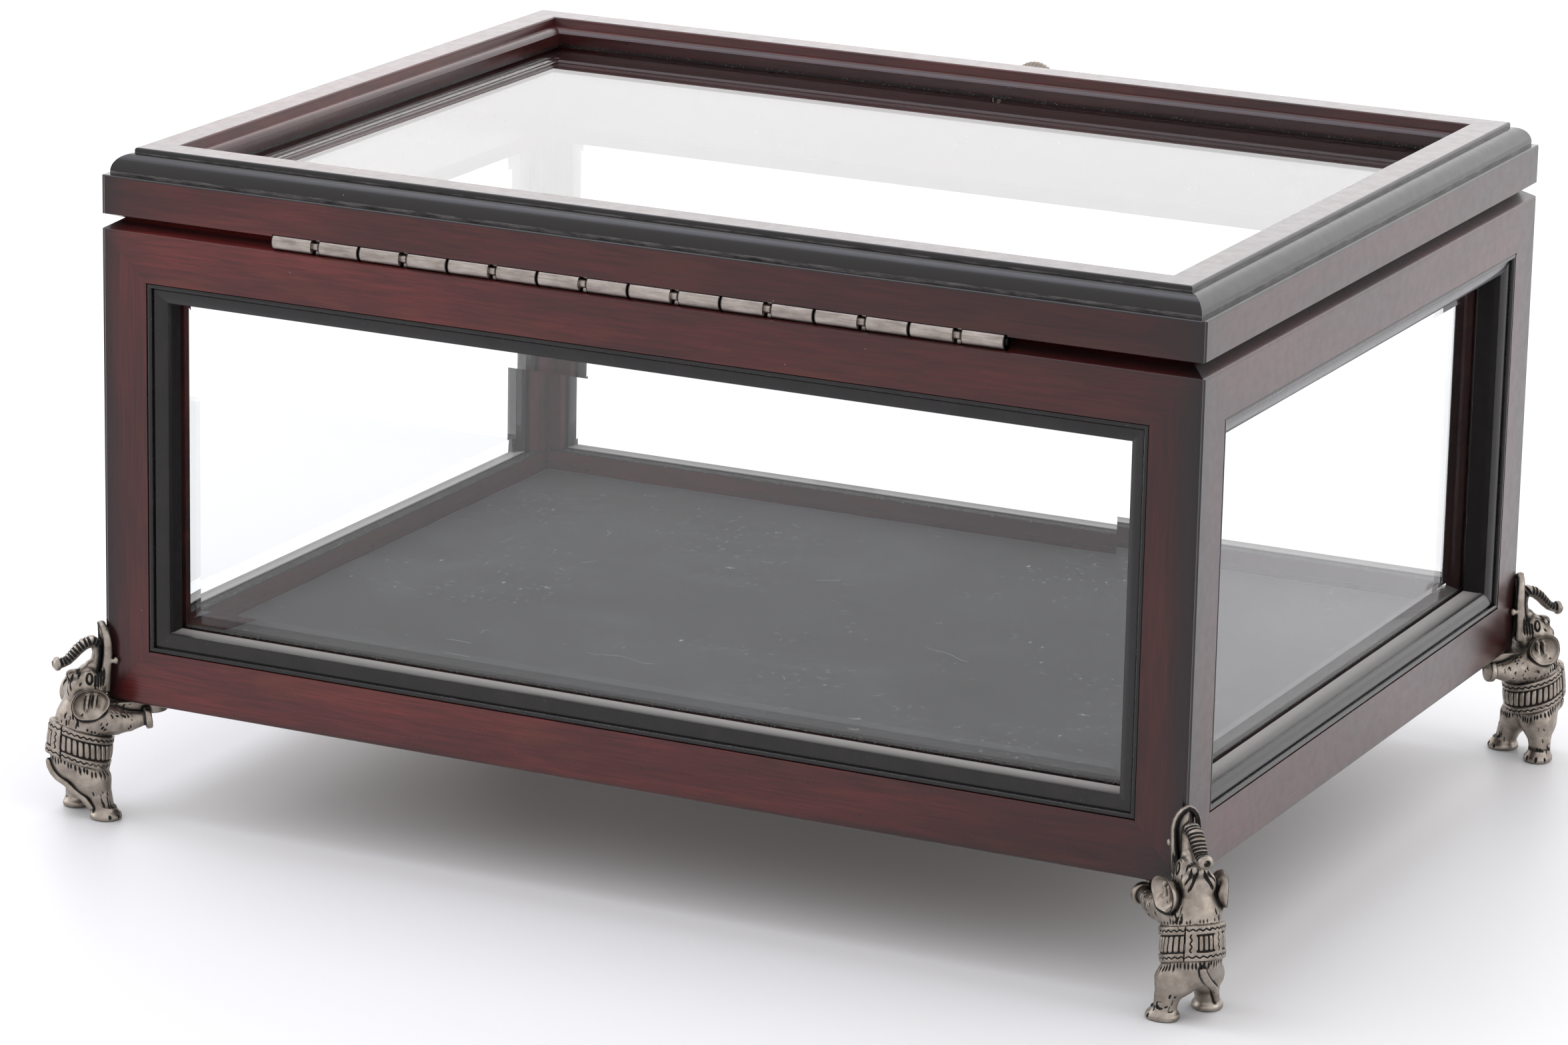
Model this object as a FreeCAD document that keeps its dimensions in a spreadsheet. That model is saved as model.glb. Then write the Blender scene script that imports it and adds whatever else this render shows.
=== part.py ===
import FreeCAD, Part

import math
import os
import re

import Sketcher

# A tabletop display case: a glazed box of mitred frames with a hinged, glazed lid, standing on four
# cast feet. Frame: Z up from the table, X along the long sides, the lid's knob faces -Y and its hinge
# is at +Y. All driving dimensions are millimetres and are cells of the sheet.
SIZES = {
    # the case as a whole
    "case_length": 406.4,
    "case_width": 306.8,
    "standing_height": 40.8,
    "body_height": 170.9,
    "lid_gap": 0.3,
    "lid_height": 23.85,
    # framed sides: visible widths of the members round each window, then the depths behind the face
    "wall": 19.0,
    "stile_long": 17.9,
    "stile_short": 19.2,
    "top_margin": 20.3,
    "bottom_margin": 19.5,
    "edge_bevel_wide": 6.0,
    "edge_bevel_high": 3.5,
    "corner_radius": 1.6,
    "crease_radius": 1.2,
    "underside_radius": 1.0,
    "moulding_width": 6.8,
    "moulding_depth": 5.0,
    "bead_radius": 0.9,
    "groove_depth": 2.0,
    "fillet_width": 0.5,
    "fillet_depth": 1.5,
    "moulding_slope_end": 3.0,
    "moulding_slope_radius": 9.0,
    "pane_depth": 11.0,
    "pane_rabbet": 5.5,
    "pane_play": 0.4,
    "pane_thickness": 4.0,
    "pane_bevel": 12.7,
    "pane_bevel_drop": 1.6,
    "stop_play": 0.1,
    # floor
    "panel_height": 11.5,
    "panel_thickness": 6.0,
    "panel_groove": 5.0,
    "panel_play": 0.3,
    "panel_corner": 7.0,
    "lining_thickness": 1.5,
    # lid rail section
    "lid_bevel_wide": 5.0,
    "lid_bevel_high": 1.75,
    "lid_face_top": 15.15,
    "soft_edge": 0.8,
    "ledge_inset": 2.4,
    "ovolo_start": 16.1,
    "ovolo_radius": 5.8,
    "rim_outer": 8.5,
    "rim_inner": 20.0,
    "inner_step": 0.6,
    "inner_bead_top": 20.7,
    "inner_bead_end": 18.9,
    "inner_bead_radius": 4.7,
    "lip_inset": 24.8,
    "lip_height": 13.9,
    "lid_rabbet": 5.6,
    "lid_stop_height": 5.2,
    # hinge
    "hinge_length": 270.6,
    "barrel_radius": 2.9,
    "barrel_recess": 3.2,
    "barrel_inset": 2.0,
    "pin_radius": 1.65,
    "pin_bore": 1.7,
    "knuckle_gap": 0.7,
    "notch_length": 2.4,
    "notch_height": 5.2,
    "leaf_thickness": 1.2,
    "leaf_width": 12.0,
    "leaf_gap": 0.1,
    "leaf_play": 0.2,
    "web_start": 2.2,
    "hinge_screw_pitch": 48.0,
    "hinge_screw_length": 10.0,
    "hinge_screw_shank": 1.25,
    "hinge_screw_head": 2.5,
    # knob and its screw
    "knob_height": 11.9,
    "knob_base_radius": 3.8,
    "knob_base_depth": 1.5,
    "knob_neck_radius": 3.2,
    "knob_head_centre": 15.5,
    "knob_head_half": 6.5,
    "knob_head_radius": 10.0,
    "knob_screw_radius": 1.5,
    "knob_screw_reach": 8.0,
    "knob_screw_head": 1.9,
    "knob_counterbore": 2.8,
    "knob_screw_head_depth": 2.4,
    # small fittings
    "bumper_radius": 3.5,
    "bumper_depth": 0.95,
    "bumper_inset": 10.5,
    "bumper_along": 40.0,
    "fit_play": 0.02,
    "foot_screw_inset": 10.6,
    "foot_screw_radius": 1.75,
    "foot_screw_grip": 9.0,
    "foot_screw_head": 3.4,
    # cast feet
    "foot_overhang": 17.4,
    "tab_thickness": 5.0,
    "tab_reach": 22.0,
    "tab_half": 6.0,
}

KNUCKLE_PAIRS = 8
HINGE_SCREWS = 6

doc = FreeCAD.newDocument("tabletop_display_case")
sheet = doc.addObject("Spreadsheet::Sheet", "Sizes")
for row, (alias, value) in enumerate(SIZES.items(), start=1):
    sheet.set(f"A{row}", alias)
    sheet.set(f"B{row}", str(value))
    sheet.setAlias(f"B{row}", alias)
doc.recompute()

nodes = {}


# ------------------------------------------------------------------ helpers
def linked(text):
    """The expression with each alias in it pointing at the sheet."""
    return re.sub(r"\b[a-z]\w*\b(?!\()", r"Sizes.\g<0>", str(text))


def size(text):
    """The present value of an expression."""
    return float(sheet.evalExpression(linked(text)))


def bind(item, **sizes):
    """Bind properties of an object to expressions; a double underscore stands for a dot."""
    for name, text in sizes.items():
        item.setExpression(name.replace("__", "."), linked(text))


def node(name, item):
    """Give a finished sub-part its label, which is also its file's name."""
    item.Label = name
    nodes[name] = item
    return item


def put(item, x, y, z, turn=0.0):
    """Place an object in the model frame, turned about Z, with its position bound to the sheet."""
    item.Placement = FreeCAD.Placement(FreeCAD.Vector(), FreeCAD.Rotation(FreeCAD.Vector(0, 0, 1), turn))
    bind(item, Placement__Base__x=x, Placement__Base__y=y, Placement__Base__z=z)


def origin_feature(body, role):
    return next(f for f in body.Origin.OriginFeatures if f.Role == role)


def new_sketch(body, plane, offset="0"):
    """A sketch on one of the body's own origin planes, moved along that plane's normal."""
    sketch = body.newObject("Sketcher::SketchObject", "Sketch")
    sketch.AttachmentSupport = (origin_feature(body, plane), [""])
    sketch.MapMode = "FlatFace"
    bind(sketch, AttachmentOffset__Base__z=offset)
    return sketch


def fix_point(sketch, edge, end, x, y):
    """Hold one end of an edge at a place measured from the sketch's origin."""
    for kind, text in (("DistanceX", x), ("DistanceY", y)):
        index = sketch.addConstraint(Sketcher.Constraint(kind, -1, 1, edge, end, size(text)))
        sketch.setExpression(f"Constraints[{index}]", linked(text))


def arc_between(start, finish, radius, side):
    """The short arc of that radius from start to finish, its centre on the left for side 1."""
    chord = finish - start
    middle = (start + finish) * 0.5
    reach = math.sqrt(max(radius**2 - (chord.Length / 2) ** 2, 0.0))
    left = FreeCAD.Vector(-chord.y, chord.x, 0).normalize()
    centre = middle + left * (reach * side)
    first, last = (start, finish) if side > 0 else (finish, start)
    angles = [math.atan2(p.y - centre.y, p.x - centre.x) for p in (first, last)]
    if angles[1] < angles[0]:
        angles[1] += 2 * math.pi
    return Part.ArcOfCircle(Part.Circle(centre, FreeCAD.Vector(0, 0, 1), radius), *angles)


def draw(sketch, corners, arcs=None):
    """Close an outline through corners, given as pairs of expressions.

    arcs holds, for the number of the corner that the edge leaves, (radius, side)."""
    arcs = arcs or {}
    spots = [FreeCAD.Vector(size(x), size(y), 0) for x, y in corners]
    first = sketch.GeometryCount
    ends = []
    for i, spot in enumerate(spots):
        after = spots[(i + 1) % len(spots)]
        if i in arcs:
            radius, side = arcs[i]
            sketch.addGeometry(arc_between(spot, after, size(radius), side), False)
            ends.append((1, 2) if side > 0 else (2, 1))
            index = sketch.addConstraint(Sketcher.Constraint("Radius", first + i, size(radius)))
            sketch.setExpression(f"Constraints[{index}]", linked(radius))
        else:
            sketch.addGeometry(Part.LineSegment(spot, after), False)
            ends.append((1, 2))
    for i, (x, y) in enumerate(corners):
        j = (i + 1) % len(corners)
        sketch.addConstraint(
            Sketcher.Constraint("Coincident", first + i, ends[i][1], first + j, ends[j][0])
        )
        fix_point(sketch, first + i, ends[i][0], x, y)


def draw_rectangle(sketch, low_x, low_y, high_x, high_y):
    draw(sketch, [(low_x, low_y), (high_x, low_y), (high_x, high_y), (low_x, high_y)])


def draw_circle(sketch, x, y, radius):
    centre = FreeCAD.Vector(size(x), size(y), 0)
    edge = sketch.addGeometry(Part.Circle(centre, FreeCAD.Vector(0, 0, 1), size(radius)), False)
    fix_point(sketch, edge, 3, x, y)
    index = sketch.addConstraint(Sketcher.Constraint("Radius", edge, size(radius)))
    sketch.setExpression(f"Constraints[{index}]", linked(radius))


def pad(body, sketch, length, reverse=False, symmetric=False):
    feature = body.newObject("PartDesign::Pad", "Pad")
    feature.Profile = sketch
    feature.Reversed = reverse
    feature.SideType = "Symmetric" if symmetric else "One side"
    bind(feature, Length=length)
    return feature


def pocket(body, sketch, length=None, reverse=False, symmetric=False):
    """Cut a sketch out of the body: to a length, or through all of it both ways when none is given."""
    feature = body.newObject("PartDesign::Pocket", "Pocket")
    feature.Profile = sketch
    feature.Reversed = reverse
    if length is None:
        feature.Type = "ThroughAll"
        feature.SideType = "Symmetric"
    else:
        feature.SideType = "Symmetric" if symmetric else "One side"
        bind(feature, Length=length)
    return feature


def repeat_along_x(body, features, spacing, count):
    """Repeat features of the body along its own X."""
    pattern = body.newObject("PartDesign::LinearPattern", "Pattern")
    pattern.Originals = features
    pattern.Direction = (origin_feature(body, "X_Axis"), [""])
    pattern.Occurrences = count
    bind(pattern, Length=f"({spacing}) * {count - 1}")
    body.Tip = pattern
    return pattern


def rod(radius, length, x, y, z, towards=(0, 0, 1)):
    """A cylinder from a point, towards a direction."""
    item = doc.addObject("Part::Cylinder", "Rod")
    turn = FreeCAD.Rotation(FreeCAD.Vector(0, 0, 1), FreeCAD.Vector(*towards))
    item.Placement = FreeCAD.Placement(FreeCAD.Vector(), turn)
    bind(item, Radius=radius, Height=length)
    bind(item, Placement__Base__x=x, Placement__Base__y=y, Placement__Base__z=z)
    return item


def taper(start_radius, end_radius, length, x, y, z, towards=(0, 0, 1)):
    """A cone from a point, towards a direction."""
    item = doc.addObject("Part::Cone", "Taper")
    turn = FreeCAD.Rotation(FreeCAD.Vector(0, 0, 1), FreeCAD.Vector(*towards))
    item.Placement = FreeCAD.Placement(FreeCAD.Vector(), turn)
    bind(item, Radius1=start_radius, Radius2=end_radius, Height=length)
    bind(item, Placement__Base__x=x, Placement__Base__y=y, Placement__Base__z=z)
    return item


def fuse(*pieces):
    item = doc.addObject("Part::MultiFuse", "Fuse")
    item.Shapes = list(pieces)
    return item


def group(pieces):
    """Identical fasteners, as separate solids of one compound."""
    item = doc.addObject("Part::Compound", "Group")
    item.Links = list(pieces)
    return item


# ------------------------------------------------------------------ where things are
# The knob stands out further in front than the feet do behind, so the case's middle is a little
# behind the origin, which is the middle of everything.
CENTRE_Y = "(knob_head_centre + knob_head_half - foot_overhang) / 2"
BODY_BASE = "standing_height"
LID_BASE = "standing_height + body_height + lid_gap"
HINGE_Y = f"case_width / 2 - barrel_inset + {CENTRE_Y}"
HINGE_Z = "standing_height + body_height + lid_gap / 2"

# side name: (its length, width of its stiles, turn of its own frame, corner where that frame starts)
# In a side's own frame X runs from left to right as seen from outside, and Y runs inwards.
SIDES = {
    "front": ("case_length", "stile_long", 0, (-1, -1)),
    "right": ("case_width", "stile_short", 90, (1, -1)),
    "back": ("case_length", "stile_long", 180, (1, 1)),
    "left": ("case_width", "stile_short", 270, (-1, 1)),
}


def side_body(name, side, base):
    """A body in the own frame of one side of the case, starting at that height."""
    turn, (sign_x, sign_y) = SIDES[side][2:]
    body = node(name, doc.addObject("PartDesign::Body", name))
    put(body, f"{sign_x} * case_length / 2", f"{sign_y} * case_width / 2 + {CENTRE_Y}", base, turn)
    return body


def mirrored_pair(sketch, length, triangle):
    """Draw a triangle near X = 0 and its mirror image at the other end of the side."""
    draw(sketch, triangle)
    draw(sketch, [(f"{length} - ({x})", y) for x, y in triangle])


# ------------------------------------------------------------------ framed sides
# where the rounded outer corner of the case crosses the 45 degree joint
ROUND_MIDDLE = "corner_radius * (1 - sqrt(0.5))"
SIGHT_BOTTOM = "bottom_margin + moulding_width"
SIGHT_TOP = "body_height - top_margin - moulding_width"
BEVEL_FOOT = "body_height - edge_bevel_high"
BEVEL_LENGTH = "sqrt(edge_bevel_wide ^ 2 + edge_bevel_high ^ 2)"
# how far up the bevel its rounding into the face reaches, as a share of the bevel
CREASE_RUN = f"(crease_radius * ({BEVEL_LENGTH} - edge_bevel_high) / edge_bevel_wide / {BEVEL_LENGTH})"


def bottom_rail(side):
    """Lower member: moulding step, pane rabbet, and the groove that holds the bottom panel."""
    length, stile = SIDES[side][:2]
    body = side_body(f"{side}_bottom_rail", side, BODY_BASE)
    section = new_sketch(body, "YZ_Plane")
    draw(
        section,
        [
            ("underside_radius", "0"),
            ("0", "underside_radius"),
            ("0", "bottom_margin"),
            ("moulding_depth", "bottom_margin"),
            ("moulding_depth", SIGHT_BOTTOM),
            ("pane_depth", SIGHT_BOTTOM),
            ("pane_depth", f"{SIGHT_BOTTOM} - pane_rabbet"),
            ("wall", f"{SIGHT_BOTTOM} - pane_rabbet"),
            ("wall", "panel_height + panel_thickness"),
            ("wall - panel_groove", "panel_height + panel_thickness"),
            ("wall - panel_groove", "panel_height"),
            ("wall", "panel_height"),
            ("wall", "0"),
        ],
        arcs={0: ("underside_radius", -1)},
    )
    pad(body, section, length)
    corner_mitres(body, length)
    frame_mitres = new_sketch(body, "XZ_Plane")
    sight = f"{stile} + moulding_width"
    mirrored_pair(frame_mitres, length, [("0", "0"), ("0", SIGHT_BOTTOM), (sight, SIGHT_BOTTOM)])
    pocket(body, frame_mitres)
    pilot = new_sketch(body, "XY_Plane")
    for x in ("foot_screw_inset", f"{length} - foot_screw_inset"):
        draw_circle(pilot, x, "foot_screw_inset", "foot_screw_radius + fit_play")
    pocket(body, pilot, "foot_screw_grip + fit_play", reverse=True)


def corner_mitres(body, length, width="wall"):
    """Cut both ends of a member at 45 degrees, to meet the next side's member at a rounded corner."""
    sketch = new_sketch(body, "XY_Plane")
    past = f"{width} + 1"
    outline = [
        ("0 - 1", "0 - 1"),
        ("corner_radius", "0 - 1"),
        ("corner_radius", "0"),
        (ROUND_MIDDLE, ROUND_MIDDLE),
        (past, past),
        ("0 - 1", past),
    ]
    draw(sketch, outline, arcs={2: ("corner_radius", 1)})
    far = [(f"{length} - ({x})", y) for x, y in outline]
    draw(sketch, far, arcs={2: ("corner_radius", -1)})
    pocket(body, sketch)


def top_rail(side):
    """Upper member: its outer top edge is bevelled to form the lower half of the groove."""
    length, stile = SIDES[side][:2]
    body = side_body(f"{side}_top_rail", side, BODY_BASE)
    section = new_sketch(body, "YZ_Plane")
    draw(
        section,
        [
            ("edge_bevel_wide", "body_height"),
            (f"{CREASE_RUN} * edge_bevel_wide", f"{BEVEL_FOOT} + {CREASE_RUN} * edge_bevel_high"),
            ("0", f"{BEVEL_FOOT} - {CREASE_RUN} * {BEVEL_LENGTH}"),
            ("0", "body_height - top_margin"),
            ("moulding_depth", "body_height - top_margin"),
            ("moulding_depth", SIGHT_TOP),
            ("pane_depth", SIGHT_TOP),
            ("pane_depth", f"{SIGHT_TOP} + pane_rabbet"),
            ("wall", f"{SIGHT_TOP} + pane_rabbet"),
            ("wall", "body_height"),
        ],
        arcs={1: ("crease_radius", 1)},
    )
    pad(body, section, length)
    corner_mitres(body, length)
    frame_mitres = new_sketch(body, "XZ_Plane")
    sight = f"{stile} + moulding_width"
    mirrored_pair(frame_mitres, length, [("0", BEVEL_FOOT), ("0", SIGHT_TOP), (sight, SIGHT_TOP)])
    pocket(body, frame_mitres)
    if side == "back":
        hinge_mortise(body, length, "body_height", below=True)
    if side == "front":
        seats = new_sketch(body, "XY_Plane", "body_height")
        for x in ("bumper_along", f"{length} - bumper_along"):
            draw_circle(seats, x, "bumper_inset", "bumper_radius + fit_play")
        pocket(body, seats, "bumper_depth")


def hinge_mortise(body, length, seam, below):
    """Recess for the barrel, mortise for one leaf and pilot holes for its screws.

    seam is the height, in the body's own frame, of the face that the leaf is let into."""
    sign = "-" if below else "+"
    axis = f"{seam} + lid_gap / 2" if below else "0 - lid_gap / 2"
    far_side = f"{axis} {sign} (leaf_gap / 2 + leaf_thickness)"
    near_side = f"{seam} + 1" if below else "0 - 1"
    barrel = new_sketch(body, "YZ_Plane", f"{length} / 2")
    draw_circle(barrel, "barrel_inset", axis, "barrel_recess")
    pocket(body, barrel, "hinge_length + 2 * leaf_play", symmetric=True)
    leaf = new_sketch(body, "YZ_Plane", f"{length} / 2")
    leaf_end = "barrel_inset + barrel_recess + leaf_width + leaf_play"
    draw(
        leaf,
        [
            ("barrel_inset", far_side),
            (leaf_end, far_side),
            (leaf_end, near_side),
            ("barrel_inset", near_side),
        ],
    )
    pocket(body, leaf, "hinge_length + 2 * leaf_play", symmetric=True)
    holes = new_sketch(body, "XY_Plane", far_side)
    for place in screw_places():
        screw_y = "barrel_inset + barrel_recess + leaf_width / 2"
        draw_circle(holes, f"{length} / 2 + {place}", screw_y, "hinge_screw_shank + fit_play")
    pocket(body, holes, "hinge_screw_length", reverse=not below)


def screw_places():
    """Places of the hinge screws along the hinge, from its middle."""
    return [f"({k - (HINGE_SCREWS - 1) / 2}) * hinge_screw_pitch" for k in range(HINGE_SCREWS)]


def stile(side, end):
    """Upright member. Its section ends in the 45 degree corner mitre."""
    length, width = SIDES[side][:2]
    body = side_body(f"{side}_{end}_stile", side, BODY_BASE)

    def across(distance):
        return distance if end == "left" else f"{length} - ({distance})"

    sight = f"{width} + moulding_width"
    section = new_sketch(body, "XY_Plane")
    outline = [
        (ROUND_MIDDLE, ROUND_MIDDLE),
        ("corner_radius", "0"),
        (width, "0"),
        (width, "moulding_depth"),
        (sight, "moulding_depth"),
        (sight, "pane_depth"),
        (f"{sight} - pane_rabbet", "pane_depth"),
        (f"{sight} - pane_rabbet", "wall"),
        ("wall", "wall"),
    ]
    side_of_centre = -1 if end == "left" else 1
    draw(section, [(across(x), y) for x, y in outline], arcs={0: ("corner_radius", side_of_centre)})
    pad(body, section, BEVEL_FOOT)
    ends = new_sketch(body, "XZ_Plane")
    for rail_edge, rail_sight in (("0", SIGHT_BOTTOM), (BEVEL_FOOT, SIGHT_TOP)):
        draw(
            ends,
            [
                (across("0"), rail_edge),
                (across(sight), rail_edge),
                (across(sight), rail_sight),
            ],
        )
    pocket(body, ends)


def window_moulding(side):
    """Black moulding round a window: a bead at its outer edge and a slope down to the reveal."""
    length, width = SIDES[side][:2]
    body = side_body(f"{side}_window_moulding", side, BODY_BASE)
    path = new_sketch(body, "XZ_Plane")
    draw_rectangle(path, width, "bottom_margin", f"{length} - {width}", "body_height - top_margin")
    section = new_sketch(body, "YZ_Plane", width)
    low = "bottom_margin"
    high = f"{low} + moulding_width"
    draw(
        section,
        [
            ("moulding_depth", low),
            ("bead_radius", low),
            ("0", f"{low} + bead_radius"),
            ("bead_radius", f"{low} + 2 * bead_radius"),
            ("groove_depth", f"{low} + 2 * bead_radius"),
            ("groove_depth", f"{low} + 2 * bead_radius + fillet_width"),
            ("fillet_depth", f"{low} + 2 * bead_radius + fillet_width"),
            ("fillet_depth", f"{low} + 2 * bead_radius + 2 * fillet_width"),
            ("moulding_slope_end", high),
            ("moulding_depth", high),
        ],
        arcs={1: ("bead_radius", -1), 2: ("bead_radius", -1), 7: ("moulding_slope_radius", -1)},
    )
    sweep = body.newObject("PartDesign::AdditivePipe", "Moulding")
    sweep.Profile = section
    sweep.Spine = (path, ["Edge1", "Edge2", "Edge3", "Edge4"])
    sweep.Transition = "Right corner"


def window_edges(side, inset):
    """Low and high corners of a rectangle, that far inside the back of a window's rabbet."""
    length, width = SIDES[side][:2]
    low_x = f"{width} + moulding_width - pane_rabbet + {inset}"
    low_z = f"{SIGHT_BOTTOM} - pane_rabbet + {inset}"
    high_z = f"{SIGHT_TOP} + pane_rabbet - ({inset})"
    return low_x, low_z, f"{length} - ({low_x})", high_z


def bevelled_glass(body, plane, edges, inset_edges, base, sign):
    """A pane whose one face is bevelled all round: a plain slab, then a loft to the smaller face."""
    flat = "pane_thickness - pane_bevel_drop"
    slab = new_sketch(body, plane, base)
    draw_rectangle(slab, *edges)
    pad(body, slab, flat, reverse=sign < 0)
    wide = new_sketch(body, plane, f"{base} + {sign} * ({flat})")
    draw_rectangle(wide, *edges)
    narrow = new_sketch(body, plane, f"{base} + {sign} * pane_thickness")
    draw_rectangle(narrow, *inset_edges)
    loft = body.newObject("PartDesign::AdditiveLoft", "Bevel")
    loft.Profile = wide
    loft.Sections = [narrow]
    loft.Ruled = True


def side_pane(side):
    """Window glass, bevelled on its outer face, which is the one nearer the moulding."""
    body = side_body(f"{side}_glass_pane", side, BODY_BASE)
    edges = window_edges(side, "pane_play")
    inner = window_edges(side, "pane_play + pane_bevel")
    base = "0 - (pane_depth + pane_thickness)"
    bevelled_glass(body, "XZ_Plane", edges, inner, base, 1)


def glass_stop(side):
    """Mitred frame of small strips that holds a pane in its rabbet from inside."""
    body = side_body(f"{side}_glass_stop", side, BODY_BASE)
    front_face = "pane_depth + pane_thickness + stop_play"
    ring = new_sketch(body, "XZ_Plane", f"0 - ({front_face})")
    draw_rectangle(ring, *window_edges(side, "stop_play"))
    draw_rectangle(ring, *window_edges(side, "pane_rabbet"))
    pad(body, ring, f"wall - ({front_face})", reverse=True)


# ------------------------------------------------------------------ floor
def bottom_panel():
    """Plywood panel in the rails' grooves, its corners clipped clear of the stiles."""
    body = node("bottom_panel", doc.addObject("PartDesign::Body", "bottom_panel"))
    put(body, "0", CENTRE_Y, f"{BODY_BASE} + panel_height")
    half_x = "(case_length / 2 - wall + panel_groove - panel_play)"
    half_y = "(case_width / 2 - wall + panel_groove - panel_play)"
    outline = []
    for sign_x, sign_y in ((1, 1), (-1, 1), (-1, -1), (1, -1)):
        on_end = (f"{sign_x} * {half_x}", f"{sign_y} * ({half_y} - panel_corner)")
        on_side = (f"{sign_x} * ({half_x} - panel_corner)", f"{sign_y} * {half_y}")
        outline += [on_end, on_side] if sign_x * sign_y > 0 else [on_side, on_end]
    sketch = new_sketch(body, "XY_Plane")
    draw(sketch, outline)
    pad(body, sketch, "panel_thickness")


def floor_lining():
    """Felt glued on the bottom panel, between the walls."""
    lining = node("floor_lining", doc.addObject("Part::Box", "floor_lining"))
    long_side = "case_length - 2 * wall - 2 * panel_play"
    short_side = "case_width - 2 * wall - 2 * panel_play"
    bind(lining, Length=long_side, Width=short_side, Height="lining_thickness")
    put(
        lining,
        f"0 - ({long_side}) / 2",
        f"{CENTRE_Y} - ({short_side}) / 2",
        f"{BODY_BASE} + panel_height + panel_thickness",
    )


# ------------------------------------------------------------------ lid
def lid_rail(side):
    """Moulded lid member: face, ledge, ovolo, flat rim, inner bead and the lip over the glass."""
    length = SIDES[side][0]
    body = side_body(f"lid_{side}_rail", side, LID_BASE)
    section = new_sketch(body, "YZ_Plane")
    rabbet = "lip_inset - lid_rabbet"
    ovolo_top = "ovolo_start + ovolo_radius"
    draw(
        section,
        [
            ("lid_bevel_wide", "0"),
            ("0", "lid_bevel_high"),
            ("0", "lid_face_top - soft_edge"),
            ("soft_edge", "lid_face_top"),
            ("ledge_inset", "lid_face_top"),
            ("ledge_inset", "ovolo_start"),
            ("ledge_inset + ovolo_radius", ovolo_top),
            ("rim_outer", ovolo_top),
            ("rim_outer", "lid_height - soft_edge"),
            ("rim_outer + soft_edge", "lid_height"),
            ("rim_inner - soft_edge", "lid_height"),
            ("rim_inner", "lid_height - soft_edge"),
            ("rim_inner + inner_step", "inner_bead_top"),
            ("lip_inset", "inner_bead_end"),
            ("lip_inset", "lip_height"),
            (rabbet, "lip_height"),
            (rabbet, "0"),
        ],
        arcs={
            2: ("soft_edge", -1),
            5: ("ovolo_radius", -1),
            8: ("soft_edge", -1),
            10: ("soft_edge", -1),
            12: ("inner_bead_radius", -1),
        },
    )
    pad(body, section, length)
    corner_mitres(body, length, "lip_inset")
    if side == "back":
        hinge_mortise(body, length, "0", below=False)
    if side == "front":
        knob_holes(body, length, rabbet)


def knob_holes(body, length, rabbet):
    """Clearance hole for the knob's screw, and the counterbore behind it that takes its head."""
    for depth, radius, cut in (
        (rabbet, "knob_screw_radius + fit_play", None),
        (rabbet, "knob_screw_head + leaf_play", "knob_counterbore"),
    ):
        hole = new_sketch(body, "XZ_Plane", f"0 - ({depth})")
        draw_circle(hole, f"{length} / 2", "knob_height", radius)
        pocket(body, hole, cut or rabbet, reverse=True)


def lid_edges(inset):
    """Low and high corners of a rectangle that far inside the outer faces of the lid."""
    low_x = f"0 - case_length / 2 + {inset}"
    low_y = f"0 - case_width / 2 + {inset}"
    return low_x, low_y, f"0 - ({low_x})", f"0 - ({low_y})"


def lid_glass():
    """Lid glass, bevelled on top, pushed up against the rails' lip."""
    body = node("lid_glass", doc.addObject("PartDesign::Body", "lid_glass"))
    put(body, "0", CENTRE_Y, LID_BASE)
    edge = "lip_inset - lid_rabbet + pane_play"
    base = "lip_height - fit_play - pane_thickness"
    bevelled_glass(body, "XY_Plane", lid_edges(edge), lid_edges(f"{edge} + pane_bevel"), base, 1)


def lid_glass_stop():
    """Mitred frame of strips that holds the lid glass from below."""
    body = node("lid_glass_stop", doc.addObject("PartDesign::Body", "lid_glass_stop"))
    put(body, "0", CENTRE_Y, LID_BASE)
    top = "lip_height - pane_thickness - stop_play"
    ring = new_sketch(body, "XY_Plane", top)
    draw_rectangle(ring, *lid_edges("lip_inset - lid_rabbet + stop_play"))
    draw_rectangle(ring, *lid_edges("lip_inset"))
    pad(body, ring, "lid_stop_height", reverse=True)


# ------------------------------------------------------------------ hinge
PITCH = f"(hinge_length / {KNUCKLE_PAIRS})"
PLAIN = f"({PITCH} - 2 * knuckle_gap - notch_length) / 2"


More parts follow.
